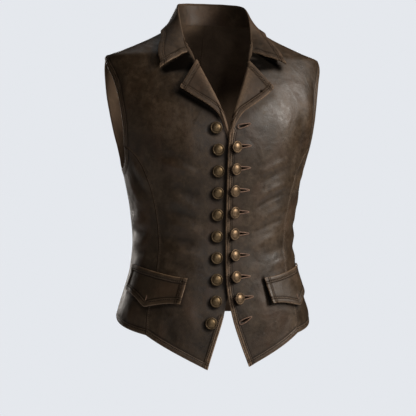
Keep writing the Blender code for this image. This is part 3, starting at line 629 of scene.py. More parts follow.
@dataclass(frozen=True)
class Recipe:
    """A node material that is put together step by step."""

    material: Material

    @classmethod
    def named(cls, name: str) -> "Recipe":
        """A fresh recipe with only the shader and the output.

        Args:
            name: The material's name.

        Returns:
            The recipe.
        """
        material = bpy.data.materials.new(name)
        material.use_nodes = True
        return cls(material)

    def finished(self, inputs: dict) -> Material:
        """Feeds the shader and hands over the material.

        Args:
            inputs: Values or sockets for the shader's inputs, by name.

        Returns:
            The material.
        """
        shader = self.material.node_tree.nodes["Principled BSDF"]
        for name, value in inputs.items():
            self.feed(shader.inputs[name], value)
        return self.material

    def node(self, kind: str, inputs: dict | None = None, **settings: object) -> bpy.types.Node:
        """Adds a node.

        Args:
            kind: The node's type.
            inputs: Values or sockets for its inputs, by name or number.
            settings: The node's own settings.

        Returns:
            The node.
        """
        made = self.material.node_tree.nodes.new(kind)
        for name, value in settings.items():
            setattr(made, name, value)
        for name, value in (inputs or {}).items():
            self.feed(made.inputs[name], value)
        return made

    def feed(self, socket: Socket, value: object) -> None:
        """Links a socket into an input, or sets the input to a value.

        Args:
            socket: The input.
            value: The socket or the value.
        """
        if isinstance(value, Socket):
            self.material.node_tree.links.new(value, socket)
        else:
            socket.default_value = value

    def place(self, stretch: tuple = (1.0, 1.0, 1.0)) -> Socket:
        """The place on the vest, in metres, stretched along each axis."""
        coordinates = self.node("ShaderNodeTexCoord").outputs["Object"]
        return self.node("ShaderNodeMapping", {"Vector": coordinates, "Scale": stretch}).outputs[0]

    def noise(self, place: Socket, scale: float, detail: float = 3.0, warp: float = 0.0) -> Socket:
        """Cloudy noise from 0 to 1."""
        inputs = {"Vector": place, "Scale": scale, "Detail": detail, "Distortion": warp}
        return self.node("ShaderNodeTexNoise", inputs).outputs["Fac"]

    def cells(self, place: Socket, scale: float) -> Socket:
        """Distance from the middles of small uneven cells."""
        return self.node("ShaderNodeTexVoronoi", {"Vector": place, "Scale": scale}).outputs["Distance"]

    def sum(self, first: object, second: object, kind: str = "ADD") -> Socket:
        """Two values put together by a kind of arithmetic, held between 0 and 1."""
        return self.node("ShaderNodeMath", {0: first, 1: second}, operation=kind, use_clamp=True).outputs[0]

    def spread(
        self, value: object, low: float, high: float, to_low: float = 0.0, to_high: float = 1.0
    ) -> Socket:
        """A value's range stretched to another range and held there."""
        inputs = {"Value": value, "From Min": low, "From Max": high, "To Min": to_low, "To Max": to_high}
        return self.node("ShaderNodeMapRange", inputs, clamp=True).outputs[0]

    def blend(self, share: object, first: object, second: object) -> Socket:
        """A colour between two colours.

        Args:
            share: How much the second one counts.
            first: One colour.
            second: The other one.

        Returns:
            The colour.
        """
        made = self.node("ShaderNodeMix", data_type="RGBA")
        self.feed(made.inputs["Factor"], share)
        for name, value in (("A", first), ("B", second)):
            socket = next(item for item in made.inputs if item.name == name and item.type == "RGBA")
            self.feed(socket, value if isinstance(value, Socket) else (*value, 1.0))
        return next(item for item in made.outputs if item.type == "RGBA")

    def painted(self, name: str) -> Socket:
        """A value that the mesh carries at its points."""
        return self.node("ShaderNodeAttribute", attribute_name=name).outputs["Fac"]

    def bumped(self, height: object, strength: float, distance: float, under: object = None) -> Socket:
        """A bumped normal, over another one if that is given.

        Args:
            height: The relief, from 0 to 1.
            strength: How strongly it shows.
            distance: Its depth in metres.
            under: The normal under it, if any.

        Returns:
            The normal.
        """
        inputs = {"Height": height, "Strength": strength, "Distance": distance}
        if under is not None:
            inputs["Normal"] = under
        return self.node("ShaderNodeBump", inputs).outputs[0]


@dataclass(frozen=True)
class HideFinish:
    """Waxed, distressed hide, seen on its grain side."""

    name: str
    deep: tuple
    middle: tuple
    rubbed: tuple
    worn: tuple
    roughness: tuple = (0.37, 0.6)
    specular: float = 0.42
    coat: float = 0.04
    coat_roughness: float = 0.42
    russet: tuple = (0.062, 0.031, 0.016)

    def material(self) -> Material:
        """Builds the node material.

        Returns:
            The material.
        """
        recipe = Recipe.named(self.name)
        place = recipe.place()
        clouds = recipe.noise(place, 13, 4, 0.6)
        patches = recipe.noise(place, 52, 5, 0.4)
        specks = recipe.noise(place, 330, 4)
        scuffs = recipe.noise(recipe.place((1.0, 1.0, 0.32)), 170, 5, 1.2)
        wear, painted_shade = recipe.painted("wear"), recipe.painted("painted_shade")

        mottle = recipe.noise(place, 150, 4, 0.5)
        broad = recipe.sum(
            recipe.spread(clouds, 0.34, 0.68, 0, 0.46), recipe.spread(patches, 0.36, 0.7, 0, 0.30)
        )
        tone = recipe.sum(broad, recipe.spread(mottle, 0.34, 0.7, 0, 0.26))
        colour = recipe.blend(recipe.spread(tone, 0.0, 0.55), self.deep, self.middle)
        colour = recipe.blend(recipe.spread(tone, 0.5, 1.0), colour, self.rubbed)
        russet = recipe.noise(recipe.place((1.0, 1.0, 0.6)), 17, 4, 0.9)
        colour = recipe.blend(recipe.spread(russet, 0.5, 0.72, 0.0, 0.5), colour, self.russet)
        scuffed = recipe.sum(recipe.spread(scuffs, 0.6, 0.74), recipe.spread(patches, 0.45, 0.65), "MULTIPLY")
        colour = recipe.blend(recipe.sum(scuffed, 0.4, "MULTIPLY"), colour, self.rubbed)
        # The wear carries rubbed edges and folds, and painted highlight on the creases' ridges.
        bare = recipe.sum(wear, recipe.spread(specks, 0.3, 0.7, 0.3, 1.0), "MULTIPLY")
        colour = recipe.blend(bare, colour, self.worn)
        # Painted shade: where the mesh carries it, the colour turns near black, and the leather grows rougher
        # and metallic so that its sheen leaves it too.
        dark = tuple(channel * 0.1 for channel in self.deep)
        colour = recipe.blend(recipe.sum(painted_shade, 0.92, "MULTIPLY"), colour, dark)

        low, high = self.roughness
        uneven = recipe.sum(recipe.sum(patches, 0.6, "MULTIPLY"), recipe.sum(mottle, 0.5, "MULTIPLY"))
        dull = recipe.spread(recipe.sum(uneven, recipe.sum(bare, 0.35, "MULTIPLY")), 0.38, 0.8, low, high)

        grain = recipe.cells(place, 620)
        pores = recipe.noise(place, 1500, 2)
        swells = recipe.noise(place, 26, 2, 0.5)
        wrinkles = recipe.noise(place, 95, 5, 0.8)
        normal = recipe.bumped(swells, 0.28, 0.007)
        normal = recipe.bumped(wrinkles, 0.05, 0.0016, normal)
        normal = recipe.bumped(mottle, 0.09, 0.001, normal)
        normal = recipe.bumped(grain, 0.26, 0.0005, normal)
        return recipe.finished({
            "Base Color": colour,
            "Roughness": recipe.sum(dull, recipe.sum(painted_shade, 0.35, "MULTIPLY")),
            "Metallic": recipe.sum(painted_shade, 0.95, "MULTIPLY"),
            "Specular IOR Level": self.specular,
            "Coat Weight": self.coat,
            "Coat Roughness": self.coat_roughness,
            "Normal": recipe.bumped(pores, 0.18, 0.0003, normal),
        })


@dataclass(frozen=True)
class FleshFinish:
    """The napped flesh side of the hide."""

    name: str = "hide_flesh_side"
    dark: tuple = (0.042, 0.026, 0.0155)
    light: tuple = (0.105, 0.069, 0.044)

    def material(self) -> Material:
        """Builds the node material.

        Returns:
            The material.
        """
        recipe = Recipe.named(self.name)
        place = recipe.place()
        clouds, nap = recipe.noise(place, 24, 5, 0.8), recipe.noise(place, 700, 3)
        tone = recipe.sum(recipe.spread(clouds, 0.3, 0.7, 0, 0.6), recipe.spread(nap, 0.3, 0.7, 0, 0.4))
        return recipe.finished({
            "Base Color": recipe.blend(tone, self.dark, self.light),
            "Roughness": recipe.spread(nap, 0.2, 0.8, 0.82, 0.98),
            "Specular IOR Level": 0.2,
            "Normal": recipe.bumped(nap, 0.5, 0.0006),
        })


@dataclass(frozen=True)
class BrassFinish:
    """Old brass, dark in its hollows and rubbed bright where it stands proud."""

    name: str
    dark: tuple
    body: tuple
    bright: tuple

    def material(self) -> Material:
        """Builds the node material.

        Returns:
            The material.
        """
        recipe = Recipe.named(self.name)
        place = recipe.place()
        clouds, specks = recipe.noise(place, 190, 4, 0.5), recipe.noise(place, 900, 4)
        wear = recipe.painted("wear")
        tone = recipe.spread(clouds, 0.35, 0.65)
        colour = recipe.blend(tone, self.dark, self.body)
        rubbed = recipe.sum(wear, recipe.spread(specks, 0.3, 0.65, 0.45, 1.0), "MULTIPLY")
        return recipe.finished({
            "Base Color": recipe.blend(rubbed, colour, self.bright),
            "Metallic": recipe.spread(rubbed, 0.0, 0.5, 0.72, 1.0),
            "Roughness": recipe.spread(rubbed, 0.0, 1.0, 0.58, 0.4),
            "Normal": recipe.bumped(specks, 0.2, 0.0002, recipe.bumped(clouds, 0.3, 0.0005)),
        })


@dataclass(frozen=True)
class ThreadFinish:
    """Waxed thread or cord."""

    name: str
    dark: tuple
    light: tuple

    def material(self) -> Material:
        """Builds the node material.

        Returns:
            The material.
        """
        recipe = Recipe.named(self.name)
        place = recipe.place()
        soil, strands = recipe.noise(place, 120, 4), recipe.noise(place, 1400, 2)
        tone = recipe.sum(recipe.spread(soil, 0.3, 0.7, 0, 0.6), recipe.spread(strands, 0.3, 0.7, 0, 0.4))
        return recipe.finished({
            "Base Color": recipe.blend(tone, self.dark, self.light),
            "Roughness": recipe.spread(soil, 0.3, 0.7, 0.5, 0.72),
            "Normal": recipe.bumped(strands, 0.4, 0.0002),
        })


@dataclass(frozen=True)
class FloorFinish:
    """Plain pale studio floor."""

    name: str = "pale_floor"
    pale: tuple = (0.74, 0.76, 0.79)
    glow: float = 0.7

    def material(self) -> Material:
        """Builds the node material.

        Returns:
            The material.
        """
        recipe = Recipe.named(self.name)
        clouds = recipe.noise(recipe.place(), 3, 2)
        other = tuple(channel * 0.97 for channel in self.pale)
        seen = recipe.node("ShaderNodeLightPath").outputs["Is Camera Ray"]
        return recipe.finished({
            "Base Color": recipe.blend(clouds, self.pale, other),
            "Roughness": 0.9,
            "Emission Color": (*self.pale, 1.0),
            "Emission Strength": recipe.sum(seen, self.glow, "MULTIPLY"),
        })


class Wardrobe:
    """Every finish of the vest, each made once."""

    def __init__(self) -> None:
        """Builds the materials."""
        self.panel = HideFinish(
            "distressed_hide",
            (0.0145, 0.0074, 0.0026), (0.038, 0.022, 0.0098), (0.08, 0.051, 0.029), (0.28, 0.175, 0.10),
        ).material()
        self.collar = HideFinish(
            "rubbed_hide",
            (0.019, 0.011, 0.0054), (0.049, 0.0305, 0.0175), (0.098, 0.066, 0.042), (0.26, 0.165, 0.1),
            (0.54, 0.74), 0.26, 0.02,
        ).material()
        self.flesh = FleshFinish().material()
        self.brass = BrassFinish(
            "aged_brass", (0.034, 0.022, 0.0115), (0.105, 0.07, 0.036), (0.21, 0.145, 0.08)
        ).material()
        self.copper = BrassFinish(
            "rubbed_copper_brass", (0.04, 0.025, 0.014), (0.125, 0.08, 0.043), (0.31, 0.212, 0.13)
        ).material()
        self.thread = ThreadFinish("waxed_thread", (0.06, 0.038, 0.023), (0.135, 0.09, 0.056)).material()
        self.cord = ThreadFinish("hole_cord", (0.09, 0.048, 0.03), (0.25, 0.145, 0.092)).material()


@dataclass
class Shape:
    """Points and faces that are gathered before they become one mesh."""

    points: list = field(default_factory=list)
    faces: list = field(default_factory=list)
    paint: list = field(default_factory=list)
    count: int = 0

    def add(self, points: Array, faces: Array, wear: Array | None = None) -> None:
        """Adds points, their faces and how worn they are.

        Args:
            points: Points in millimetres.
            faces: Their faces, counted from the first of them.
            wear: How rubbed they are.
        """
        self.points.append(np.asarray(points, float).reshape(-1, 3))
        self.faces.append(np.asarray(faces) + self.count)
        size = len(self.points[-1])
        self.paint.append(np.zeros(size) if wear is None else np.broadcast_to(wear, (size,)))
        self.count += size

    def object(self, name: str, material: Material) -> Object:
        """One object of everything gathered, with its faces turned outward."""
        points, faces = np.concatenate(self.points), np.concatenate(self.faces)
        return new_object(name, points, faces, [material], {"wear": np.concatenate(self.paint)})


def new_object(
    name: str, points: Array, faces: Array, materials: list, paint: dict,
    inner_from: int | None = None, sharp: float = 55.0,
) -> Object:
    """A mesh object from points in millimetres.

    Args:
        name: The object's name.
        points: Its points.
        faces: Four corners for each face. A triangle repeats its last one.
        materials: Its materials.
        paint: Values for the points, by name.
        inner_from: Faces from this number on take the second material.
        sharp: Edges that turn by more than this stay sharp.

    Returns:
        The object.
    """
    first, second, third, fourth = (points[faces[:, corner]] for corner in range(4))
    volume = (first * np.cross(second, third)).sum() + (first * np.cross(third, fourth)).sum()
    if volume < 0:
        faces = faces[:, ::-1]
    mesh = bpy.data.meshes.new(name)
    listed = [list(dict.fromkeys(face)) for face in faces.tolist()]
    mesh.from_pydata((points * MM).tolist(), [], listed)
    for layer, values in paint.items():
        mesh.attributes.new(layer, "FLOAT", "POINT").data.foreach_set("value", np.asarray(values, np.float32))
    for material in materials:
        mesh.materials.append(material)
    if inner_from is not None:
        index = np.zeros(len(faces), np.int32)
        index[inner_from:] = 1
        mesh.polygons.foreach_set("material_index", index)
    mesh.shade_smooth()
    mesh.set_sharp_from_angle(angle=math.radians(sharp))
    mesh.update()
    made = bpy.data.objects.new(name, mesh)
    bpy.context.scene.collection.objects.link(made)
    return made


def quads_of(rows: int, columns: int, closed: bool = False) -> Array:
    """The quads of a grid of points that are counted row by row.

    Args:
        rows: How many rows it has.
        columns: How many columns it has.
        closed: Whether its columns join into a ring.

    Returns:
        Four point numbers for each quad.
    """
    index = np.arange(rows * columns).reshape(rows, columns)
    if closed:
        index = np.concatenate([index, index[:, :1]], axis=1)
    corners = [index[:-1, :-1], index[:-1, 1:], index[1:, 1:], index[1:, :-1]]
    return np.stack(corners, -1).reshape(-1, 4)


def tree_of(grids: list) -> BVHTree:
    """A search tree over some grids of points.

    Args:
        grids: The grids, with x, y and z last.

    Returns:
        The tree.
    """
    points, quads, start = [], [], 0
    for grid in grids:
        quads += (quads_of(*grid.shape[:2]) + start).tolist()
        points += grid.reshape(-1, 3).tolist()
        start += grid.shape[0] * grid.shape[1]
    return BVHTree.FromPolygons(points, quads)


def face_height(tree: BVHTree, base: Array, normal: Array, reach: float = 14.0) -> float | None:
    """How far the leather's outer face stands off a point of the form, or None where there is none."""
    hit = tree.ray_cast(Vector(base + normal * reach), Vector(-normal), 2 * reach)
    return None if hit[0] is None else reach - hit[3]


def held_off(tree: BVHTree, points: Array, least: float) -> Array:
    """The same points, with those that lie too near the leather moved straight out from it.

    Args:
        tree: The leather's search tree.
        points: Points near it.
        least: The least distance.

    Returns:
        The moved points.
    """
    moved = points.copy()
    for place in np.ndindex(points.shape[:-1]):
        nearest, normal, _, distance = tree.find_nearest(Vector(points[place]), 30.0)
        if nearest is None:
            continue
        away = np.array(normal)
        height = (points[place] - np.array(nearest)) @ away
        if height < least and distance < abs(height) + 3:
            moved[place] = points[place] + away * (least - height)
    return moved


def sheet_normals(sheet: Array) -> Array:
    """Unit normals of a grid of points."""
    return unit(np.cross(np.gradient(sheet, axis=1), np.gradient(sheet, axis=0)))


@dataclass(frozen=True)
class EdgeProfile:
    """The section through a panel's border, by the distance from it."""

    roll: float = 1.5
    inner_roll: float = 0.9
    crown: float = 0.35
    groove: float = 0.6
    seam_rise: float = 0.45

    def fall(self, distance: Array, radius: float) -> Array:
        """How far a rounded edge falls away near its rim."""
        near = np.clip(radius - distance, 0, radius)
        return radius - np.sqrt(radius**2 - near**2)

    def outer(self, kind: EdgeKind, distance: Array) -> Array:
        """Rise of the outer face at a distance from a border.

        Args:
            kind: The border's finish.
            distance: Distances from it.

        Returns:
            The rise.
        """
        grooves = sum(bell(distance - row, 0.7) for row in kind.stitch_rows)
        if kind.is_turned:
            band = EDGE_RISE * (1 - ease((distance - EDGE_BAND) / EDGE_STEP))
            crown = self.crown * np.sin(np.pi * np.clip(distance / STITCH_FROM_EDGE, 0, 1))
            return band + crown - self.groove * grooves - self.fall(distance, self.roll)
        if kind is EdgeKind.SEAM:
            welt = self.seam_rise * (1 - ease((distance - 4.0) / 1.4))
            return welt - 0.4 * grooves - self.fall(distance, 1.2)
        return -self.fall(distance, 1.0)

    def inner(self, distance: Array) -> Array:
        """Rise of the inner face at a distance from a border."""
        return self.fall(distance, self.inner_roll)

    def wear(self, kind: EdgeKind, distance: Array) -> Array:
        """How rubbed the leather is at a distance from a border.

        Args:
            kind: The border's finish.
            distance: Distances from it.

        Returns:
            The rubbed share.
        """
        if kind.is_turned:
            if kind is EdgeKind.RUBBED:
                return 0.95 * bell(distance, 2.6) + 0.62 * bell(distance - 5.0, 3.6)
            rim, band = (0.85, 0.28) if kind is EdgeKind.DOUBLE else (0.7, 0.10)
            lines = rim * bell(distance, 1.6) + band * bell(distance - 4.6, 2.4)
            return lines + 0.3 * bell(distance - 9.7, 0.8)
        if kind is EdgeKind.SEAM:
            return 0.5 * bell(distance - 1.3, 0.8) + 0.2 * bell(distance - 4.3, 0.6)
        return 0.12 * bell(distance - 1.4, 0.8)

    def painted_shade(self, kind: EdgeKind, distance: Array) -> Array:
        """How strongly painted shade darkens the leather at a distance from a border: in its stitch grooves,
        along a seam and below a turned band's step.

        Args:
            kind: The border's finish.
            distance: Distances from it.

        Returns:
            The painted shade's strength, from 0 up.
        """
        grooves = sum(bell(distance - row, 0.75) for row in kind.stitch_rows)
        if kind.is_turned:
            return grooves + 0.65 * bell(distance - 11.6, 1.3)
        if kind is EdgeKind.PLAIN:
            return 0.0 * distance
        return bell(distance, 0.8) + 0.5 * grooves


PROFILE = EdgeProfile()
TURNED_PLACES = (
    0, 0.12, 0.45, 0.95, 1.6, 2.4, 3.0, 3.35, 3.7, 4.05, 4.5, 5.4,
    6.5, 7.2, 7.6, 8.0, 8.4, 8.8, 9.5, 10.3, 11.1, 12.0, 13.2,
)
SEAM_PLACES = (0, 0.15, 0.5, 1.0, 1.7, 2.3, 2.7, 3.0, 3.3, 3.8, 4.3, 5.0, 5.8, 7.2)


@dataclass
class Border:
    """One border of a sheet of leather: how it is finished, its points, and points a little further in."""

    kind: EdgeKind
    line: Array
    further_in: Array


@dataclass
class Stitches:
    """A run of thread stitches pressed into the leather."""

    pitch: float = 3.7
    length: float = 2.9
    radius: float = 0.36
    sides: int = 6

    def lay(self, shape: Shape, path: Array, normals: Array) -> None:
        """Adds the stitches along a path.

        Args:
            shape: What they are gathered in.
            path: Points on the leather.
            normals: The leather's normals there.
        """
        at = lengths_along(path)
        count = int(at[-1] // self.pitch)
        if count < 1:
            return
        middles = (np.arange(count) + 0.5) * at[-1] / count
        along = np.array([-1.0, -0.86, -0.45, 0.0, 0.45, 0.86, 1.0])
        thickness = np.array([0.25, 0.75, 1.0, 1.05, 1.0, 0.75, 0.25]) * self.radius
        sink = np.array([-0.75, -0.3, 0.1, 0.18, 0.1, -0.3, -0.75]) * self.radius
        spots = middles[:, None] + along * self.length / 2
        centre = np.stack([np.interp(spots, at, path[:, axis]) for axis in range(3)], -1)
        normal = unit(np.stack([np.interp(spots, at, normals[:, axis]) for axis in range(3)], -1))
        ahead = unit(centre[:, -1:] - centre[:, :1])
        beside = unit(np.cross(ahead, normal))
        turns = 2 * np.pi * np.arange(self.sides) / self.sides
        ring = normal[:, :, None] * np.cos(turns)[:, None] + beside[:, :, None] * np.sin(turns)[:, None]
        sunk = centre + normal * sink[:, None]
        points = sunk[:, :, None] + ring * thickness[:, None, None]
        rings = len(along)
        faces = quads_of(rings, self.sides, closed=True)
        caps = [[0, 1, 2, 3], [0, 3, 4, 5]]
        last = (rings - 1) * self.sides
        caps += [[last + 3, last + 2, last + 1, last], [last + 5, last + 4, last + 3, last]]
        faces = np.concatenate([faces, caps])
        size = rings * self.sides
        every = (faces[None] + size * np.arange(count)[:, None, None]).reshape(-1, 4)
        shape.add(points, every)


@dataclass
class Leather:
    """A sheet of leather with a grain side and a flesh side, made from a grid of points and its borders."""

    name: str
    outer: Array
    normal: Array
    borders: list
    side: Side
    slot: Slot
    held: str
    rests_on: tuple
    # Painted shade and wear that the grain side carries besides its edges' own.
    extra_painted_shade: Array | float = 0.0
    extra_wear: Array | float = 0.0

    def build(self, wardrobe: Wardrobe) -> Object:
        """Builds the sheet and its stitches, and hangs the sheet on the body.

        Args:
            wardrobe: The finishes.

        Returns:
            The sheet's object.
        """
        bare = self.outer.copy()
        rise, lower = np.zeros(bare.shape[:2]), np.zeros(bare.shape[:2])
        # Wear and painted shade start from what the sheet brings and gain those of its edges.
        wear, painted_shade = self.extra_wear + rise, self.extra_painted_shade + rise
        for border in self.borders:
            distance = distance_to(border.line, bare)
            change = PROFILE.outer(border.kind, distance)
            stronger = np.where(np.abs(change) > np.abs(rise), change, rise)
            rise = stronger if border.kind.is_turned else rise + change
            lower = np.maximum(lower, PROFILE.inner(distance))
            wear = np.maximum(wear, PROFILE.wear(border.kind, distance))
            painted_shade = np.maximum(painted_shade, PROFILE.painted_shade(border.kind, distance))
        self.outer = bare + self.normal * rise[..., None]
        inner = self.inner_face(bare) + self.normal * lower[..., None]
        material = wardrobe.collar if self.slot is Slot.COLLAR else wardrobe.panel
        made = self.wall(inner, [material, wardrobe.flesh], {"wear": wear, "painted_shade": painted_shade})
        going_with = self.stitch(wardrobe)
        self.dress(made, bare)
        return made

    def inner_face(self, bare: Array) -> Array:
        """The flesh side, a leather's thickness under the grain side."""
        return bare - self.normal * LEATHER

    def wall(self, inner: Array, materials: list, paint: dict) -> Object:
        """A closed wall between the grain side and the flesh side.

        Args:
            inner: The flesh side's points.
            materials: The grain side's finish and the flesh side's.
            paint: Values for the grain side's points.

        Returns:
            The wall's object.
        """
        rows, columns = self.outer.shape[:2]
        count = rows * columns
        index = np.arange(count).reshape(rows, columns)
        quads = quads_of(rows, columns)
        rim = np.concatenate([index[0, :], index[1:, -1], index[-1, -2::-1], index[-2:0:-1, 0]])
        here, there = rim, np.roll(rim, -1)
        sides = np.stack([there, here, here + count, there + count], -1)
        faces = np.concatenate([quads, sides, quads[:, ::-1] + count])
        points = on_side(np.concatenate([self.outer.reshape(-1, 3), inner.reshape(-1, 3)]), self.side)
        full = {name: np.tile(values.reshape(-1), 2) for name, values in paint.items()}
        inner_from = len(quads) + len(sides)
        return new_object(f"leather_{self.name}", points, faces, materials, full, inner_from)

    def stitch(self, wardrobe: Wardrobe) -> list:
        """Sews the turned edges and the seams.

        Args:
            wardrobe: The finishes.

        Returns:
            The stitching's object, in a list, or nothing.
        """
        shape, tree = Shape(), tree_of([self.outer])
        for border in self.borders:
            if not border.kind.stitch_rows:
                continue
            at = lengths_along(border.line)
            spots = np.linspace(0, at[-1], max(int(at[-1] / 2.5), 4))
            line, deeper = (
                np.stack([np.interp(spots, at, points[:, axis]) for axis in range(3)], -1)
                for points in (border.line, border.further_in)
            )
            ahead = unit(np.gradient(line, axis=0))
            inward = deeper - line
            inward = unit(inward - ahead * (inward * ahead).sum(-1, keepdims=True))
            for reach in border.kind.stitch_rows:
                self.sew_row(shape, tree, border, line + inward * reach, reach)
        if not shape.count:
            return []
        made = shape.object(f"stitching_{self.name}", wardrobe.thread)
        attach(made, BODY)
        return [made]

    def sew_row(self, shape: Shape, tree: BVHTree, border: Border, spots: Array, reach: float) -> None:
        """Sews one row of stitches, as far as it stays clear of the other borders.

        Args:
            shape: What the stitches are gathered in.
            tree: The grain side's search tree.
            border: The border that the row follows.
            spots: Where the row should run.
            reach: How far that is from the border.
        """
        path, normals = [], []
        for spot in spots:
            nearest, normal, _, _ = tree.find_nearest(Vector(spot), 12.0)
            clear = nearest is not None and all(
                distance_to(other.line, np.array(nearest)[None])[0]
                > (reach - 0.4 if other.kind.is_turned else 2.2)
                for other in self.borders
                if other is not border
            )
            if clear:
                path.append(np.array(nearest))
                normals.append(np.array(normal))
        if len(path) > 3:
            Stitches().lay(shape, on_side(np.array(path), self.side), on_side(np.array(normals), self.side))

    def dress(self, made: Object, bare: Array) -> None:
        """Hangs the sheet on the body and hides its part in the frame. The sizes of its cut are worked out
        but not used.

        Args:
            made: The sheet's object.
            bare: Its grain side before the edges were raised.
        """
        across = np.linalg.norm(np.diff(bare, axis=1), axis=-1).sum(axis=1).max() * MM
        up = np.linalg.norm(np.diff(bare, axis=0), axis=-1).sum(axis=0).max() * MM
        one, two = bare[1:, 1:] - bare[:-1, :-1], bare[1:, :-1] - bare[:-1, 1:]
        area = np.linalg.norm(np.cross(one, two), axis=-1).sum() / 2 * MM**2
        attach(made, BODY)
        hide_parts(self.name)


@dataclass
class Panel:
    """A panel of the body, which follows the worn form between two boundaries."""

    drape: Drape
    step_across: float = 4.2
    step_up: float = 4.2
    close_step: float = 0.75
    evens_out_over: float = 60.0
    lap_shade: float = 2.5
    # The painted shadow round each button on the upper front and the lower one: how far aside it lies, how
    # wide it is and how far it fades, then its drop and its share on both.
    button_shades: tuple = ((0.0, 7.5, 4.5), (3.0, 9.0, 6.5))
    button_shade_drop: float = 4.0
    button_shade_share: float = 0.8
    leather: Leather | None = None

    @property
    def side(self) -> Side:
        """The wearer's side that the panel is on."""
        return self.drape.side

    def rows(
        self, left: tuple, right: tuple, start: tuple, end: tuple, fine: tuple = ()
    ) -> tuple[Array, Array]:
        """Marks where each row of the panel's grid meets its two boundaries.

        Args:
            left: The left boundary's marks.
            right: The right boundary's marks.
            start: Distances of the first rows from the start.
            end: Distances of the last rows from the end.
            fine: Low and high height of each stretch that needs close rows, a quarter of the way across.

        Returns:
            The left marks and the right ones.
        """
        lengths = FORM.length_of(left), FORM.length_of(right)
        mean = sum(lengths) / 2

        def marks_at(places: Array) -> list:
            """The marks on both boundaries for places along the mean length.

            Args:
                places: The places.

            Returns:
                The left marks and the right ones.
            """
            even = places / mean
            found = []
            for boundary, length in ((left, lengths[0]), (right, lengths[1])):
                from_start = ease((places - start[-1]) / self.evens_out_over)
                from_end = ease((mean - places - end[-1]) / self.evens_out_over)
                near_start = places / length * (1 - from_start) + even * from_start
                near_end = (1 - (mean - places) / length) * (1 - from_end) + even * from_end
                found.append(FORM.along(boundary, np.where(even < 0.5, near_start, near_end)))
            return found

        places = graded(mean, start, end, self.step_up)
        close = np.arange(start[-1] + 1.0, mean - end[-1], self.close_step)
        for low, high in fine:
            at_left, at_right = marks_at(close)
            heights = at_left[:, 1] * 0.75 + at_right[:, 1] * 0.25
            wanted = close[(heights > low) & (heights < high)]
            if len(wanted):
                kept = places[(places < wanted[0] - 0.5) | (places > wanted[-1] + 0.5)]
                places = np.sort(np.concatenate([kept, wanted]))
        at_left, at_right = marks_at(places)
        return at_left, at_right

    def grid(self, left: Array, right: Array, start: tuple, end: tuple, zone: tuple | None = None) -> Array:
        """Marks of the panel's grid, with its columns at true distances from both boundaries.

        Args:
            left: A left mark for each row.
            right: A right mark for each row.
            start: Distances of the first columns from the left boundary.
            end: Distances of the last columns from the right boundary.
            zone: How far from the left boundary the columns stand close, and how close.

        Returns:
            Angle and height for each row and column.
        """
        shares = np.linspace(0, 1, 41)
        sample = left[:, None] * (1 - shares[:, None]) + right[:, None] * shares[:, None]
        steps = np.linalg.norm(np.diff(FORM.points(sample[..., 0], sample[..., 1]), axis=1), axis=-1)
        run = np.concatenate([np.zeros((len(left), 1)), np.cumsum(steps, axis=1)], axis=1)
        widest = run[:, -1].max()
        reach, close = zone or (start[-1], self.step_across)
        near = np.zeros(0)
        if zone:
            near = np.linspace(start[-1], reach, int(round((reach - start[-1]) / close)) + 1)[1:]
        count = max(int(round((widest - reach - end[-1]) / self.step_across)), 4)
        marks = []
        for low, high, lengths in zip(left, right, run):
            between = np.linspace(reach, lengths[-1] - end[-1], count + 1)[1:-1]
            places = np.concatenate([start, near, between, lengths[-1] - np.array(end[::-1])])
            share = np.interp(places, lengths, shares)[:, None]
            marks.append(low * (1 - share) + high * share)
        return np.array(marks)

    def surface(self, marks: Array) -> tuple[Array, Array]:
        """Points of the grain side at marks, and the form's normals there.

        Args:
            marks: Angle and height for each place.

        Returns:
            The points and the normals.
        """
        angle, height = marks[..., 0], marks[..., 1]
        normal = FORM.normals(angle, height)
        return FORM.points(angle, height) + normal * self.drape.lift(angle, height)[..., None], normal

    def shades(self) -> tuple:
        """Where painted shadow darkens the leather under and beside other pieces.

        Returns:
            For each painted shadow its line of marks, its drop below them, its width and its share.
        """
        left = self.side is Side.LEFT
        _, fold_at, left_point, right_point, _, _ = COLLAR_ROWS[-1]
        point = np.array(left_point if left else right_point)
        fold, foot = np.array(front_marks((fold_at[::2], SHADED_NOTCH)))
        start = point * 0.8 + fold * 0.2
        free = [row[2:4] if left else row[4:6] for row in LAPEL_ROWS[5:]]
        lap = [(self.lap_shade - x, height) for x, height in OVER_EDGE[3:] + OVER_BREAK[1:3]]
        flap_end, flap_foot = (FLAP_ROWS[0][:2], FLAP_ROWS[0][2:]), [row[2:] for row in FLAP_ROWS]
        return (
            (front_marks(lap), 0.0, 5.0, 0.0 if left else 0.95),
            ((start, fold), 4.0, 8.0, 1.7),
            ((start, (fold + foot) / 2), 4.5, 8.5, 1.7),
            ((start, foot), 3.0, 8.0, 1.2 if left else 1.6),
            (front_marks(free), 7.0, 8.0, 0.35 if left else 0.95),
            (flap_end, 0.5, 5.0, 0.9 if left else 0.4),
            (flap_foot, 3.0, 4.0, 0.6),
        )

    def wear_and_painted_shade(self, marks: Array, outer: Array) -> tuple[Array, Array]:
        """How rubbed the leather is, with painted highlight on the creases' ridges, and its painted shade in
        the troughs, beside other pieces and round the buttons.

        Args:
            marks: The panel's marks.
            outer: The points at them.

        Returns:
            The share of wear and painted highlight, and the share of painted shade, at each point.
        """
        worn, dark = self.drape.crease_wear_and_shade(marks[..., 0], marks[..., 1])
        for line, drop, width, share in self.shades():
            at = np.array(line, float)
            under = FORM.points(at[:, 0], at[:, 1] - drop)
            dark = np.maximum(dark, np.minimum(share * bell(distance_to(under, outer), width), 1.0))
        # Painted shadow round each button.
        left = self.side is Side.LEFT
        aside, full, fade = self.button_shades[0 if left else 1]
        for number, (sewn, fastened, *_) in enumerate(FASTENERS):
            x, top = (fastened, HOLE_TOP) if left else (-sewn, SEWN_TOP)
            if x is None:
                continue
            height = top - BUTTON_PITCH * number - self.button_shade_drop
            middle = FORM.points(FORM.angle_at(x + aside, height), height)
            away = np.linalg.norm(outer - middle, axis=-1)
            dark = np.maximum(dark, self.button_shade_share * (1 - ease((away - full) / fade)))
        return worn, dark


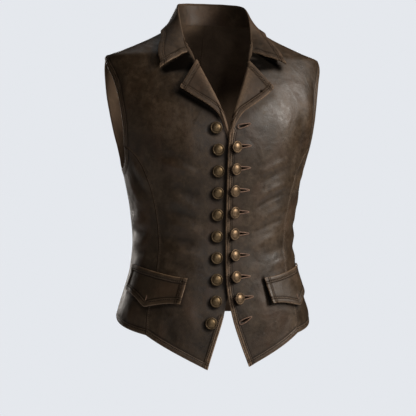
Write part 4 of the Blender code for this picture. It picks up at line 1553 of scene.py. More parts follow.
@dataclass
class Front(Panel):
    """A front, from its turned edge to the curved seam, the armhole and the shoulder seam."""

    # Up to which height the turned front edge shows, on the upper front and the lower one.
    edge_seen_to: tuple = (-175.0, -530.0)
    slit_depth: float = 1.9
    slit_half_width: float = 1.9
    slit_inset: float = 3.4
    # How far above and below a slit the rows stand close, and how much further if it is turned upright.
    slit_margin: float = 6.0
    upright_margin: float = 16.0
    # Reach from the front edge and spacing of the close columns, on the upper front and the lower one.
    close_columns: tuple = ((56.0, 1.9), (44.0, 2.6))
    edge_line: Array | None = None

    def boundaries(self) -> tuple:
        """The front edge's lower and upper stretch, as marks.

        Returns:
            The marks of each stretch.
        """
        over = self.side is Side.LEFT
        lower = OVER_EDGE if over else UNDER_EDGE
        upper = (OVER_BREAK if over else UNDER_BREAK) + NECK_EDGE
        return front_marks(lower), front_marks(upper) + [NECK_BEFORE_SEAM, NECK_SIDE]

    def slit_rows(self) -> tuple:
        """The heights between which the rows have to be close for each slit.

        Returns:
            A low and a high height for each slit.
        """
        if self.side is Side.RIGHT:
            return ()
        middles = [HOLE_TOP - BUTTON_PITCH * number for number in range(len(FASTENERS))]
        turns = [abs(math.sin(math.radians(row[4]))) for row in FASTENERS]
        spreads = [self.slit_margin + self.upright_margin * turn for turn in turns]
        return tuple((middle - spread, middle + spread) for middle, spread in zip(middles, spreads))

    def slits(self, marks: Array) -> Array:
        """How deep in a buttonhole's slit each place lies, from 0 to 1.

        Args:
            marks: Angle and height for each place.

        Returns:
            The depth at each place.
        """
        depth = np.zeros(marks.shape[:2])
        if self.side is Side.RIGHT:
            return depth
        x = FORM.points(marks[..., 0], marks[..., 1])[..., 0]
        for number, (_, fastened, start, end, turn) in enumerate(FASTENERS):
            height = HOLE_TOP - BUTTON_PITCH * number
            middle, half = (start + end) / 2, (end - start) / 2 - self.slit_inset
            pivot = middle if fastened is None else fastened
            turned = math.radians(turn)
            across, climb = x - pivot, marks[..., 1] - height
            run = across * math.cos(turned) + climb * math.sin(turned) - (middle - pivot)
            off = climb * math.cos(turned) - across * math.sin(turned)
            width = self.slit_half_width * np.sqrt(np.clip(1 - (run / half) ** 2, 0, 1)) + 1e-6
            depth = np.maximum(depth, np.sqrt(np.clip(1 - (off / width) ** 2, 0, 1)) * (np.abs(run) < half))
        return depth

    def build(self, wardrobe: Wardrobe) -> None:
        """Builds the front.

        Args:
            wardrobe: The finishes.
        """
        over = self.side is Side.LEFT
        lower, upper = self.boundaries()
        low = self.rows(lower, PRINCESS_SEAM, TURNED_PLACES, (0, 3.0), self.slit_rows())
        high = self.rows(upper, FRONT_ARMHOLE, (0, 3.0), SEAM_PLACES, self.slit_rows())
        left, right = (np.concatenate([first, second[1:]]) for first, second in zip(low, high))
        marks = self.grid(left, right, TURNED_PLACES, TURNED_PLACES, self.close_columns[0 if over else 1])
        outer, normal = self.surface(marks)
        foot = len(low[0]) - 1
        seen = int(np.argmax(left[:, 1] > self.edge_seen_to[0 if over else 1]))
        slit = self.slits(marks)
        worn, dark = self.wear_and_painted_shade(marks, outer)
        borders = [
            Border(EdgeKind.TURNED, outer[0], outer[12]),
            Border(EdgeKind.RUBBED, outer[: seen + 1, 0], outer[: seen + 1, 9]),
            Border(EdgeKind.PLAIN, outer[seen:, 0], outer[seen:, 9]),
            Border(EdgeKind.SEAM, outer[: foot + 1, -1], outer[: foot + 1, -9]),
            Border(EdgeKind.DOUBLE, outer[foot:, -1], outer[foot:, -9]),
            Border(EdgeKind.QUIET_SEAM, outer[-1], outer[-8]),
        ]
        raised = EDGE_RISE * (left[:, 1] < self.edge_seen_to[0])
        self.edge_line = outer[:, 0] + normal[:, 0] * raised[:, None]
        # The buttonholes' slits are sunk into the leather and painted dark as shade, like the painted shadows
        # beside other pieces.
        self.leather = Leather(
            f"front_{self.side.label}", outer - normal * (slit * self.slit_depth)[..., None], normal, borders,
            self.side, Slot.PANEL, "hung", (f"back_{self.side.label}",),
            extra_painted_shade=np.maximum(slit, dark), extra_wear=worn,
        )
        self.leather.build(wardrobe)


@dataclass
class SideFront(Panel):
    """The narrow piece between the curved seam and the side seam."""

    def underarm_drop(self, angle: Array) -> Array:
        """How far the armhole's foot lies below the straight line between its two ends.

        Args:
            angle: Angles round the body.

        Returns:
            The drop at each angle, below zero.
        """
        marks = np.array(UNDERARM, float)
        straight = np.interp(angle, marks[[0, -1], 0], marks[[0, -1], 1])
        return smooth(marks[:, 0], marks[:, 1], angle) - straight

    def build(self, wardrobe: Wardrobe) -> None:
        """Builds the side front.

        Args:
            wardrobe: The finishes.
        """
        left, right = self.rows(PRINCESS_SEAM, SIDE_SEAM, TURNED_PLACES, TURNED_PLACES)
        marks = self.grid(left, right, SEAM_PLACES, SEAM_PLACES)
        lengths = lengths_along(FORM.points(left[:, 0], left[:, 1]))
        share_up = (lengths / lengths[-1])[:, None]
        marks[..., 1] += self.underarm_drop(marks[-1:, :, 0]) * ease((share_up - 0.35) / 0.55)
        outer, normal = self.surface(marks)
        borders = [
            Border(EdgeKind.TURNED, outer[0], outer[12]),
            Border(EdgeKind.DOUBLE, outer[-1], outer[-12]),
            Border(EdgeKind.QUIET_SEAM, outer[:, 0], outer[:, 9]),
            Border(EdgeKind.QUIET_SEAM, outer[:, -1], outer[:, -9]),
        ]
        # Wear, painted highlight on the creases' ridges and painted shade.
        worn, dark = self.wear_and_painted_shade(marks, outer)
        self.leather = Leather(
            f"side_front_{self.side.label}", outer, normal, borders, self.side, Slot.PANEL, "hung",
            (f"front_{self.side.label}", f"back_{self.side.label}"), extra_painted_shade=dark, extra_wear=worn,
        )
        self.leather.build(wardrobe)


@dataclass
class Back(Panel):
    """Half of the back, from the side seam and the armhole to the centre back seam and the neck."""

    def build(self, wardrobe: Wardrobe) -> None:
        """Builds the half.

        Args:
            wardrobe: The finishes.
        """
        low = self.rows(SIDE_SEAM, CENTRE_BACK, TURNED_PLACES, (0, 3.0))
        armhole = FORM.length_of(BACK_ARMHOLE)
        yoke, neck = FORM.length_of(BACK_YOKE), FORM.length_of(BACK_NECK)
        places = graded(armhole, (0, 3.0), SEAM_PLACES, self.step_up) / armhole
        turn = yoke / (yoke + neck)
        up_yoke = FORM.along(BACK_YOKE, np.clip(places / turn, 0, 1))
        round_neck = FORM.along(BACK_NECK, np.clip((places - turn) / (1 - turn), 0, 1))
        high = FORM.along(BACK_ARMHOLE, places), np.where((places < turn)[:, None], up_yoke, round_neck)
        left, right = (np.concatenate([first, second[1:]]) for first, second in zip(low, high))
        marks = self.grid(left, right, TURNED_PLACES, SEAM_PLACES)
        outer, normal = self.surface(marks)
        foot, corner = len(low[0]) - 1, int(np.argmax(right[:, 0] < 179.9))
        borders = [
            Border(EdgeKind.TURNED, outer[0], outer[12]),
            Border(EdgeKind.SEAM, outer[: foot + 1, 0], outer[: foot + 1, 9]),
            Border(EdgeKind.DOUBLE, outer[foot:, 0], outer[foot:, 9]),
            Border(EdgeKind.SEAM, outer[:corner, -1], outer[:corner, -9]),
            Border(EdgeKind.PLAIN, outer[corner - 1 :, -1], outer[corner - 1 :, -9]),
            Border(EdgeKind.SEAM, outer[-1], outer[-9]),
        ]
        other = Side.RIGHT if self.side is Side.LEFT else Side.LEFT
        # The creases' troughs get painted shade, their ridges wear and painted highlight.
        worn, dark = self.drape.crease_wear_and_shade(marks[..., 0], marks[..., 1])
        self.leather = Leather(
            f"back_{self.side.label}", outer, normal, borders, self.side, Slot.PANEL, "hung",
            (f"back_{other.label}",), extra_painted_shade=dark, extra_wear=worn,
        )
        self.leather.build(wardrobe)


@dataclass
class Lapel:
    """The part of a front that is turned back at the neck."""

    side: Side
    front: Front
    tree: BVHTree
    full_roll_width: float = 22.0
    sunk: float = -1.3
    least_rise: float = LEATHER + 0.6
    most_shift: float = 2.5
    gap: float = 0.45
    row_count: int = 62
    column_count: int = 44
    # The eyelet on the wearer's left: where it is, how wide and how deep.
    eyelet: tuple = (67.0, -97.0)
    eyelet_reach: float = 2.4
    eyelet_depth: float = 1.7

    def control(self) -> Array:
        """The lapel's outer face as a coarse grid, from the break up and from under the fold out.

        Returns:
            The grid's points.
        """
        outer = []
        for number, (fold_x, fold_height, *free_edges) in enumerate(LAPEL_ROWS):
            grown = LAPEL_START[number] if number < len(LAPEL_START) else 1.0
            free_x, free_height = free_edges[:2] if self.side is Side.LEFT else free_edges[2:]
            fold = np.array([FORM.angle_at(fold_x, fold_height), fold_height])
            free = np.array([FORM.angle_at(free_x, free_height), free_height])
            fold_point, free_point = FORM.points(*fold), FORM.points(*free)
            line = self.front.edge_line
            best = int(np.argmin(np.linalg.norm(line - fold_point, axis=1)))
            ahead = unit(line[min(best + 2, len(line) - 1)] - line[max(best - 2, 0)])
            past = unit(np.cross(FORM.normals(*fold), ahead))
            shift = float(np.clip((line[best] - fold_point) @ past, -self.most_shift, self.most_shift))
            roll = min(1.0, np.linalg.norm(free_point - fold_point) / self.full_roll_width)
            for share, past_fold, rise in LAPEL_ROLL:
                mark = fold * (1 - share) + free * share
                height = self.least_rise + (rise - self.least_rise) * roll if share else rise
                height = self.sunk + (height - self.sunk) * grown
                base, normal = FORM.points(*mark), FORM.normals(*mark)
                level = float(self.front.drape.lift(*mark))
                found = face_height(self.tree, base, normal)
                level = level if found is None else max(level, found)
                aside = past * (past_fold * grown + shift * (1 - share))
                outer.append(base + normal * (level + height) + aside)
        return np.reshape(outer, (len(LAPEL_ROWS), len(LAPEL_ROLL), 3))

    def build(self, wardrobe: Wardrobe) -> None:
        """Builds the lapel.

        Args:
            wardrobe: The finishes.
        """
        control = self.control()
        top, out = len(control) - 1, control.shape[1] - 1
        near_top = top - np.array(LAPEL_TOP_PLACES)[::-1]
        rows = np.concatenate([np.linspace(0, near_top[0], self.row_count)[:-1], near_top])
        near_edge = out - np.array(LAPEL_EDGE_PLACES)[::-1]
        columns = np.concatenate([np.linspace(0, near_edge[0], self.column_count)[:-1], near_edge])
        outer = rounded(control, rows)
        outer = np.swapaxes(rounded(np.swapaxes(outer, 0, 1), columns), 0, 1)
        wrapped = int(np.argmax(columns > 3))
        normal = sheet_normals(outer)
        # The eyelet's depth is painted dark as shade.
        outer, normal, painted_shade = self.pierced(outer, normal)
        borders = [
            Border(EdgeKind.TURNED, outer[:, -1], outer[:, -12]),
            Border(EdgeKind.TURNED, outer[-1, wrapped:], outer[-12, wrapped:]),
            Border(EdgeKind.PLAIN, outer[:, 0], outer[:, 6]),
        ]
        wear = 0.5 * bell(columns - 2.6, 1.1)[None, :] + np.zeros(painted_shade.shape)
        sheet = FoldedLeather(
            f"lapel_{self.side.label}", outer, normal, borders, self.side, Slot.COLLAR, "folded",
            (f"front_{self.side.label}",), extra_painted_shade=painted_shade, extra_wear=wear,
            tree=self.tree, gap=self.gap, free_from=wrapped,
        )
        sheet.build(wardrobe)

    def pierced(self, outer: Array, normal: Array) -> tuple[Array, Array, Array]:
        """Pricks the small eyelet near the point of the wearer's left lapel, sunk and painted dark as shade.

        Args:
            outer: The lapel's outer face.
            normal: Its normals.

        Returns:
            The pricked face, its normals and how deep in the eyelet each point lies.
        """
        painted_shade = np.zeros(outer.shape[:2])
        if self.side is Side.RIGHT:
            return outer, normal, painted_shade
        x, height = self.eyelet
        off = np.hypot(outer[..., 0] - x, outer[..., 2] - height)
        pit = np.clip(1.5 * bell(off, self.eyelet_reach), 0, 1)
        return outer - normal * (self.eyelet_depth * pit)[..., None], normal, pit


@dataclass
class FoldedLeather(Leather):
    """A sheet that is folded over, whose under side stays clear of what it lies on."""

    tree: BVHTree | None = None
    gap: float = 0.45
    free_from: int = 0

    def inner_face(self, bare: Array) -> Array:
        """The flesh side, held off the leather that it lies on.

        Args:
            bare: The grain side before its edges are raised.

        Returns:
            The flesh side's points.
        """
        under = bare - self.normal * LEATHER
        under[:, self.free_from :] = held_off(self.tree, under[:, self.free_from :], self.gap)
        return under


@dataclass
class Collar:
    """The turned-down collar, one piece from point to point."""

    stand_steps: int = 3
    fall_steps: int = 6
    fold_steps: int = 4
    fold_reach: float = 7.0
    least_rise: float = LEATHER + 1.2
    neck_middle: float = 8.0
    stand_inset: float = 1.4
    row_count: int = 200
    column_count: int = 42

    def section(self, row: tuple, neck: Array, side: Side) -> Array:
        """One cross-section, from the neck up the stand, over the fold and down the fall.

        Args:
            row: The collar's row.
            neck: Where it meets the neck edge.
            side: The wearer's side.

        Returns:
            The section's points.
        """
        _, fold, left_edge, right_edge, edge_rise, bulge = row
        fold = np.array(fold, float)
        mark = left_edge if side is Side.LEFT else right_edge
        edge_normal = FORM.normals(*mark)
        edge = FORM.points(*mark) + edge_normal * edge_rise
        stand_end = fold + (neck - fold) * self.fold_reach / np.linalg.norm(neck - fold)
        fall_start = fold + (edge - fold) * self.fold_reach / np.linalg.norm(edge - fold)
        points = [neck + (stand_end - neck) * share for share in np.linspace(0, 1, self.stand_steps + 1)]
        for share in np.linspace(0, 1, self.fold_steps + 1)[1:-1]:
            bend = stand_end * (1 - share) ** 2 + fold * 2 * share * (1 - share)
            points.append(bend + fall_start * share**2)
        for share in np.linspace(0, 1, self.fall_steps + 1):
            straight = fall_start * (1 - share) + edge * share
            points.append(straight + edge_normal * bulge * 4 * share * (1 - share))
        return np.array(points)

    def half(self, side: Side, tree: BVHTree) -> Array:
        """Half of the coarse grid, from the centre back to the point.

        Args:
            side: The wearer's side.
            tree: The leather under it.

        Returns:
            The half's points.
        """
        rows = []
        for row in COLLAR_ROWS:
            mark = row[0]
            neck = FORM.points(*mark) - FORM.normals(*mark) * LEATHER
            inward = unit(np.array([-neck[0], self.neck_middle - neck[1], 0.0]))
            rows.append(self.section(row, neck + inward * self.stand_inset, side))
        half = np.array(rows)
        half[:, 1:] = held_off(tree, half[:, 1:], self.least_rise)
        return half

    def build(self, wardrobe: Wardrobe, trees: dict) -> None:
        """Builds the collar.

        Args:
            wardrobe: The finishes.
            trees: The leather under each half.
        """
        left, right = (self.half(side, trees[side]) for side in (Side.LEFT, Side.RIGHT))
        control = np.concatenate([on_side(right[:0:-1], Side.RIGHT), left])
        near = np.array(COLLAR_END_PLACES)
        last, out = len(control) - 1, control.shape[1] - 1
        rows = np.concatenate([near, np.linspace(1, last - 1, self.row_count)[1:-1], last - near[::-1]])
        edge = out - np.array(COLLAR_EDGE_PLACES)[::-1]
        columns = np.concatenate([np.linspace(0, edge[0], self.column_count)[:-1], edge])
        outer = rounded(control, rows)
        outer = np.swapaxes(rounded(np.swapaxes(outer, 0, 1), columns), 0, 1)
        normal = -sheet_normals(outer)
        fold = self.stand_steps + self.fold_steps / 2
        fall = int(np.argmax(columns > fold + 1.5))
        borders = [
            Border(EdgeKind.TURNED, outer[:, -1], outer[:, -13]),
            Border(EdgeKind.TURNED, outer[0, fall:], outer[12, fall:]),
            Border(EdgeKind.TURNED, outer[-1, fall:], outer[-13, fall:]),
            Border(EdgeKind.PLAIN, outer[:, 0], outer[:, 6]),
            Border(EdgeKind.PLAIN, outer[0, : fall + 1], outer[6, : fall + 1]),
            Border(EdgeKind.PLAIN, outer[-1, : fall + 1], outer[-7, : fall + 1]),
        ]
        wear = 0.42 * bell(columns - fold, 1.3)[None, :] + np.zeros(outer.shape[:2])
        sheet = Leather(
            "collar", outer, normal, borders, Side.LEFT, Slot.COLLAR, "folded", ("back_left", "back_right"),
            extra_wear=wear,
        )
        sheet.build(wardrobe)


@dataclass
class PocketFlap:
    """A scalloped pocket flap, sewn along its top, with a bar of thread above its middle point."""

    drape: Drape
    width: float = 178.0
    drop: float = 50.0
    step: float = 2.2
    rise_top: float = 0.6
    rise_foot: float = 4.2
    curl: float = 4.2
    curl_reach: float = 20.0
    # Towards the side the flap lies closer: from which angle, how fast and by what share.
    close_from: float = 62.0
    close_fade: float = 14.0
    closer: float = 0.72
    bar: tuple = (51.3, -488.0)
    bar_half: float = 4.2
    bar_half_width: float = 1.2
    bar_stitches: int = 13

    def build(self, wardrobe: Wardrobe) -> None:
        """Builds the flap and its bar.

        Args:
            wardrobe: The finishes.
        """
        side = self.drape.side
        table = np.array(FLAP_ROWS, float)
        width = self.width
        across = graded(width, TURNED_PLACES, TURNED_PLACES, self.step) / width * (len(table) - 1)
        down = graded(self.drop, TURNED_PLACES, TURNED_PLACES, self.step) / self.drop
        rows = rounded(table, across)
        angle = rows[:, None, 0] * (1 - down) + rows[:, None, 2] * down
        height = rows[:, None, 1] * (1 - down) + rows[:, None, 3] * down
        rise = self.rise_top * (1 - down) + self.rise_foot * down**1.3
        normal = FORM.normals(angle, height)
        waves = 0.7 * np.sin(angle / 9.0 + side.value) * down**2 + 0.5 * np.sin(angle / 3.7) * down**3
        from_end = across[:, None] / (len(table) - 1) * width
        curl = self.curl * bell(from_end, self.curl_reach) * (0.3 + 0.7 * down)
        close = 1 - self.closer * ease((angle - self.close_from) / self.close_fade)
        level = self.drape.lift(angle, height) + 0.5 + (rise + waves) * close + curl
        outer = FORM.points(angle, height) + normal * (level + LEATHER)[..., None]
        borders = [
            Border(EdgeKind.TURNED, outer[:, -1], outer[:, -12]),
            Border(EdgeKind.TURNED, outer[0], outer[12]),
            Border(EdgeKind.TURNED, outer[-1], outer[-13]),
            Border(EdgeKind.TURNED, outer[:, 0], outer[:, 12]),
        ]
        sheet = Leather(
            f"pocket_flap_{side.label}", outer, normal, borders, side, Slot.PANEL, "hung",
            (f"front_{side.label}", f"side_front_{side.label}"), extra_wear=0.06,
        )
        sheet.build(wardrobe)
        self.sew_bar(sheet, wardrobe)

    def sew_bar(self, sheet: Leather, wardrobe: Wardrobe) -> None:
        """Sews the short upright bar of thread that holds the flap's point.

        Args:
            sheet: The flap's leather.
            wardrobe: The finishes.
        """
        tree, shape = tree_of([sheet.outer]), Shape()
        angle, middle = self.bar
        path = []
        for height in np.linspace(middle - self.bar_half, middle + self.bar_half, 10):
            base, normal = FORM.points(angle, height), FORM.normals(angle, height)
            found = face_height(tree, base, normal, 16.0) or 0.0
            path.append(base + normal * (found + 0.2))
        ahead, normals = unit(path[-1] - path[0]), FORM.normals(angle, middle)
        beside = unit(np.cross(ahead, normals))
        for step in np.linspace(0, 1, self.bar_stitches):
            spot = np.array(path[0]) * (1 - step) + np.array(path[-1]) * step
            half = beside * self.bar_half_width
            line = np.array([spot - half, spot, spot + half])
            Stitches(pitch=2.3, length=2.5, radius=0.42).lay(
                shape, on_side(line, sheet.side), on_side(np.array([normals] * 3), sheet.side)
            )
        made = shape.object(f"flap_bar_{sheet.side.label}", wardrobe.cord)
        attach(made, BODY)


@dataclass(frozen=True)
class Seat:
    """A place on a front: point, outward normal and the direction towards +X."""

    point: Array
    normal: Array
    sideways: Array

    @classmethod
    def at(cls, tree: BVHTree, side: Side, x: float, height: float) -> "Seat":
        """Finds the seat on a front's leather.

        Args:
            tree: The front's search tree, made for the wearer's left.
            side: The front's side.
            x: Where it is in the vest's frame.
            height: Its height.

        Returns:
            The seat in the vest's frame.
        """
        angle = FORM.angle_at(x * side.value, height)
        base, normal = FORM.points(angle, height), FORM.normals(angle, height)
        point = on_side(base + normal * (face_height(tree, base, normal) or 0.0), side)
        normal = on_side(normal, side)
        return cls(point, normal, unit(np.cross([0, 0, 1], normal)))


@dataclass
class Button:
    """A domed button with a raised rim, on a shank."""

    name: str
    seat: Seat
    tilt: float = 0.0
    stand: float = 0.0
    sides: int = 44
    # Radius, rise and how rubbed it is, from under the disc out to the rim and in to the crown.
    profile: tuple = (
        (2.6, 2.75, 0.0), (7.5, 2.65, 0.0), (9.6, 2.6, 0.0), (10.6, 3.0, 0.0), (11.15, 3.5, 0.08),
        (11.3, 4.05, 0.16), (11.05, 4.6, 0.26), (10.5, 4.98, 0.34), (9.8, 5.05, 0.28), (9.4, 4.85, 0.1),
        (9.1, 4.5, 0.0), (8.85, 4.3, 0.0), (8.6, 4.28, 0.0), (8.3, 4.5, 0.08), (7.95, 4.95, 0.22),
        (7.4, 5.4, 0.42), (6.6, 5.85, 0.58), (5.4, 6.35, 0.7), (4.0, 6.75, 0.8), (2.5, 7.05, 0.88),
        (1.1, 7.2, 0.9), (0.01, 7.24, 0.9),
    )
    shank: tuple = ((0.01, -0.8, 0.0), (1.7, -0.8, 0.0), (1.7, 1.0, 0.0), (1.9, 2.2, 0.0), (2.6, 2.9, 0.0))

    def build(self, material: Material) -> None:
        """Builds the button.

        Args:
            material: Its brass.
        """
        lean = math.radians(self.tilt)
        axis = self.seat.normal * math.cos(lean) + self.seat.sideways * math.sin(lean)
        first = unit(np.cross(axis, [0, 0, 1]))
        second = np.cross(axis, first)
        turns = 2 * np.pi * np.arange(self.sides) / self.sides
        spokes = first * np.cos(turns)[:, None] + second * np.sin(turns)[:, None]
        rings = np.array(self.shank[:-1] + self.profile)
        rises = rings[:, 1] + np.where(rings[:, 1] > 2, self.stand, 0)
        points = self.seat.point + axis * rises[:, None, None] + spokes * rings[:, 0, None, None]
        faces = quads_of(len(rings), self.sides, closed=True)
        index = np.arange(1, self.sides - 1)
        bottom = np.stack([np.zeros_like(index), index + 1, index, index], -1)
        last = (len(rings) - 1) * self.sides
        top = np.stack([np.zeros_like(index), index, index + 1, index + 1], -1) + last
        wear = np.repeat(rings[:, 2], self.sides)
        faces = np.concatenate([faces, bottom, top])
        made = new_object(
            f"brass_{self.name}", points.reshape(-1, 3), faces, [material], {"wear": wear}, sharp=75.0
        )
        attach(made, BODY)
        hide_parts(self.name)


@dataclass
class Buttonhole:
    """A loop of thread-covered cord round a slit, full towards the button and pointed at the far end."""

    number: int
    row: tuple
    cord_radius: float = 1.15
    cord_lift: float = 0.75
    wrap_relief: float = 0.13
    width: float = 9.6
    sides: int = 10
    knots: int = 48
    steps: int = 240
    wraps: int = 66

    def build(self, tree: BVHTree, wardrobe: Wardrobe) -> None:
        """Builds the loop.

        Args:
            tree: The front's search tree.
            wardrobe: The finishes.
        """
        _, fastened, start, end, turn = self.row
        height, turned = HOLE_TOP - BUTTON_PITCH * (self.number - 1), math.radians(turn)
        middle, half = (start + end) / 2, (end - start) / 2
        pivot = middle if fastened is None else fastened
        centres, normals = [], []
        for step in range(self.knots):
            phase = 2 * math.pi * step / self.knots
            full = abs(math.sin(phase)) ** 0.6 * (0.66 - 0.34 * math.cos(phase))
            run = middle - pivot + math.cos(phase) * half
            off = math.copysign(full * self.width / 2, math.sin(phase))
            across = run * math.cos(turned) - off * math.sin(turned)
            climb = run * math.sin(turned) + off * math.cos(turned)
            seat = Seat.at(tree, Side.LEFT, pivot + across, height + climb)
            centres.append(seat.point + seat.normal * self.cord_radius * self.cord_lift)
            normals.append(seat.normal)
        closed = np.array(centres[-2:] + centres + centres[:3])
        length = lengths_along(np.array(centres + centres[:1]))
        even = np.linspace(0, length[-1], self.steps, endpoint=False)
        places = np.interp(even, length, np.arange(self.knots + 1)) + 2
        line = rounded(closed, places)
        up = unit(rounded(np.array(normals[-2:] + normals + normals[:3]), places))
        ahead = unit(np.roll(line, -1, axis=0) - np.roll(line, 1, axis=0))
        beside = unit(np.cross(ahead, up))
        up = np.cross(beside, ahead)
        turns = 2 * np.pi * np.arange(self.sides) / self.sides
        twist = np.sin(self.wraps * 2 * np.pi * np.arange(self.steps) / self.steps)[:, None]
        radius = self.cord_radius * (1 + self.wrap_relief * np.sin(np.arcsin(twist) + turns))
        ring = up[:, None] * np.cos(turns)[:, None] + beside[:, None] * np.sin(turns)[:, None]
        points = line[:, None] + ring * radius[..., None]
        index = np.arange(self.steps * self.sides).reshape(self.steps, self.sides)
        ahead_row, beside_row = np.roll(index, -1, axis=0), np.roll(index, -1, axis=1)
        faces = np.stack([index, ahead_row, np.roll(ahead_row, -1, axis=1), beside_row], -1).reshape(-1, 4)
        name = f"buttonhole_{self.number:02d}"
        worn = {"wear": np.zeros(points.shape[0] * self.sides)}
        made = new_object(f"cord_{name}", points.reshape(-1, 3), faces, [wardrobe.cord], worn)
        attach(made, BODY)
        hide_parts(name)


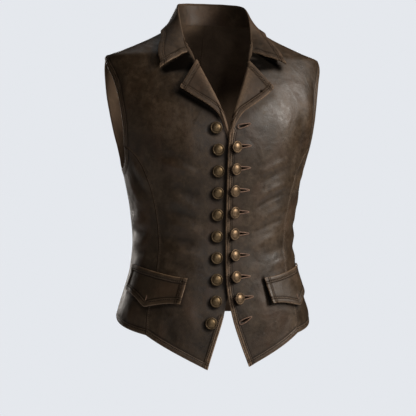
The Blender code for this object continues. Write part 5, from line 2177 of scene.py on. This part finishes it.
@dataclass
class Studio:
    """The camera, the soft lights and the pale floor."""

    yaw: float = 12.8
    distance: float = 3.0
    metres_per_pixel: float = 0.00195
    axis_pixel: float = 213.0
    eye_pixel: float = 225.0
    eye_height: float = -0.350
    picture: float = 416.0
    floor_height: float = -1.42
    floor_radius: float = 4.2
    floor_sides: int = 96
    aim_height: float = -0.28

    def build(self) -> None:
        """Sets up the whole studio."""
        self.camera()
        self.lights()
        self.floor()
        self.surroundings()

    def camera(self) -> None:
        """Puts the camera where the photograph was taken from."""
        focal = self.distance / self.metres_per_pixel
        turn = math.radians(self.yaw)
        back = Vector((-math.sin(turn), -math.cos(turn), 0))
        right = Vector((math.cos(turn), -math.sin(turn), 0))
        up = Vector((0, 0, 1))
        aside = (self.axis_pixel - self.picture / 2) * self.metres_per_pixel
        place = back * self.distance - right * aside + up * self.eye_height
        pitch = math.atan((self.eye_pixel - self.picture / 2) / focal)
        forward = -back * math.cos(pitch) + up * math.sin(pitch)
        upright = up * math.cos(pitch) + back * math.sin(pitch)
        data = bpy.data.cameras.new("camera")
        data.sensor_width = 36.0
        data.lens = focal * data.sensor_width / self.picture
        made = bpy.data.objects.new("camera", data)
        bpy.context.scene.collection.objects.link(made)
        turned = Matrix((right, upright, -forward)).transposed().to_4x4()
        made.matrix_world = Matrix.Translation(place) @ turned
        bpy.context.scene.camera = made

    def light(
        self, name: str, place: tuple, size: tuple, power: float, colour: tuple = (1.0, 1.0, 1.0)
    ) -> None:
        """Adds a soft rectangular light that faces the vest.

        Args:
            name: The light's name.
            place: Where it stands.
            size: Its width and height.
            power: Its power in watts.
            colour: Its colour.
        """
        data = bpy.data.lights.new(name, "AREA")
        data.shape = "RECTANGLE"
        data.size, data.size_y = size
        data.energy = power
        data.color = colour
        made = bpy.data.objects.new(name, data)
        bpy.context.scene.collection.objects.link(made)
        made.location = place
        towards = Vector((0, 0, self.aim_height)) - Vector(place)
        made.rotation_mode = "QUATERNION"
        made.rotation_quaternion = towards.to_track_quat("-Z", "Y")

    def lights(self) -> None:
        """Adds the key light, the fill and the lights behind."""
        self.light("key_light", (2.6, -1.85, 1.25), (0.8, 1.3), 120.0, (1.0, 0.95, 0.885))
        self.light("high_light", (1.1, -1.5, 2.4), (0.4, 0.4), 9.0, (1.0, 0.94, 0.86))
        self.light("front_light", (0.3, -3.5, 0.4), (0.35, 0.6), 14.0, (0.94, 0.965, 1.0))
        self.light("fill_light", (-3.2, -0.6, 0.0), (1.4, 2.0), 2.0, (1.0, 0.84, 0.66))
        self.light("side_light", (-1.3, 3.0, 0.4), (1.0, 1.4), 26.0, (1.0, 0.94, 0.88))
        self.light("top_light", (0.2, 0.9, 2.2), (1.6, 1.2), 5.0)
        self.light("back_light", (0.6, 3.3, 0.1), (1.6, 1.4), 70.0, (1.0, 0.97, 0.94))

    def floor(self) -> None:
        """Lays the pale floor well below the vest."""
        turns = 2 * np.pi * np.arange(self.floor_sides) / self.floor_sides
        radius, low = self.floor_radius / MM, np.full(self.floor_sides, self.floor_height / MM)
        points = np.stack([radius * np.cos(turns), radius * np.sin(turns), low], -1)
        mesh = bpy.data.meshes.new("floor")
        mesh.from_pydata((points * MM).tolist(), [], [list(range(self.floor_sides))])
        mesh.materials.append(FloorFinish().material())
        made = bpy.data.objects.new("floor", mesh)
        bpy.context.scene.collection.objects.link(made)

    def surroundings(self) -> None:
        """Makes the pale surroundings, which light the vest less than they show."""
        world = bpy.data.worlds.new("studio")
        world.use_nodes = True
        bpy.context.scene.world = world
        nodes, links = world.node_tree.nodes, world.node_tree.links
        seen = nodes["Background"]
        seen.inputs["Color"].default_value = (0.783, 0.807, 0.847, 1.0)
        cast = nodes.new("ShaderNodeBackground")
        cast.inputs["Color"].default_value = (1.0, 0.90, 0.78, 1.0)
        cast.inputs["Strength"].default_value = 0.03
        path, mix = nodes.new("ShaderNodeLightPath"), nodes.new("ShaderNodeMixShader")
        links.new(path.outputs["Is Camera Ray"], mix.inputs[0])
        links.new(cast.outputs[0], mix.inputs[1])
        links.new(seen.outputs[0], mix.inputs[2])
        links.new(mix.outputs[0], nodes["World Output"].inputs["Surface"])
        bpy.context.scene.view_settings.view_transform = "Standard"


class Vest:
    """The whole vest, piece by piece."""

    def __init__(self) -> None:
        """Gets the finishes and the drape of both sides ready."""
        self.wardrobe = Wardrobe()
        self.drapes = {
            side: Drape(side, Crease.from_rows(rows))
            for side, rows in ((Side.LEFT, LEFT_CREASES), (Side.RIGHT, RIGHT_CREASES))
        }
        self.trees: dict = {}
        self.front_trees: dict = {}

    def build(self) -> None:
        """Builds every piece in order."""
        for side, drape in self.drapes.items():
            front, flank, back = Front(drape), SideFront(drape), Back(drape)
            for panel in (front, flank, back):
                panel.build(self.wardrobe)
            self.front_trees[side] = tree_of([front.leather.outer, flank.leather.outer])
            self.trees[side] = tree_of([front.leather.outer, flank.leather.outer, back.leather.outer])
            Lapel(side, front, self.front_trees[side]).build(self.wardrobe)
            PocketFlap(drape).build(self.wardrobe)
            LOG.info("%s half is sewn together", side.label)
        Collar().build(self.wardrobe, self.trees)
        self.fasten()

    def fasten(self) -> None:
        """Sews on the buttons and works the buttonholes."""
        for number, row in enumerate(FASTENERS, start=1):
            sewn, fastened = row[:2]
            height = SEWN_TOP - BUTTON_PITCH * (number - 1)
            seat = Seat.at(self.front_trees[Side.RIGHT], Side.RIGHT, sewn, height)
            Button(f"button_right_{number:02d}", seat).build(self.wardrobe.brass)
            Buttonhole(number, row).build(self.front_trees[Side.LEFT], self.wardrobe)
            if fastened is not None:
                height = HOLE_TOP - BUTTON_PITCH * (number - 1)
                seat = Seat.at(self.front_trees[Side.LEFT], Side.LEFT, fastened, height)
                button = Button(f"button_left_{number:02d}", seat, FASTENED_LEAN, FASTENED_STAND)
                button.build(self.wardrobe.copper)
        LOG.info("%d buttonholes and their buttons are on", len(FASTENERS))


def main() -> None:
    """Builds the vest and the studio, and logs how many nodes the frame has."""
    logging.basicConfig(level=logging.INFO, format="%(name)s: %(message)s")
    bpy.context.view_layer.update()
    Vest().build()
    Studio().build()
    LOG.info("the frame has %d nodes", len(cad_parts))


if __name__ == "__main__":
    main()
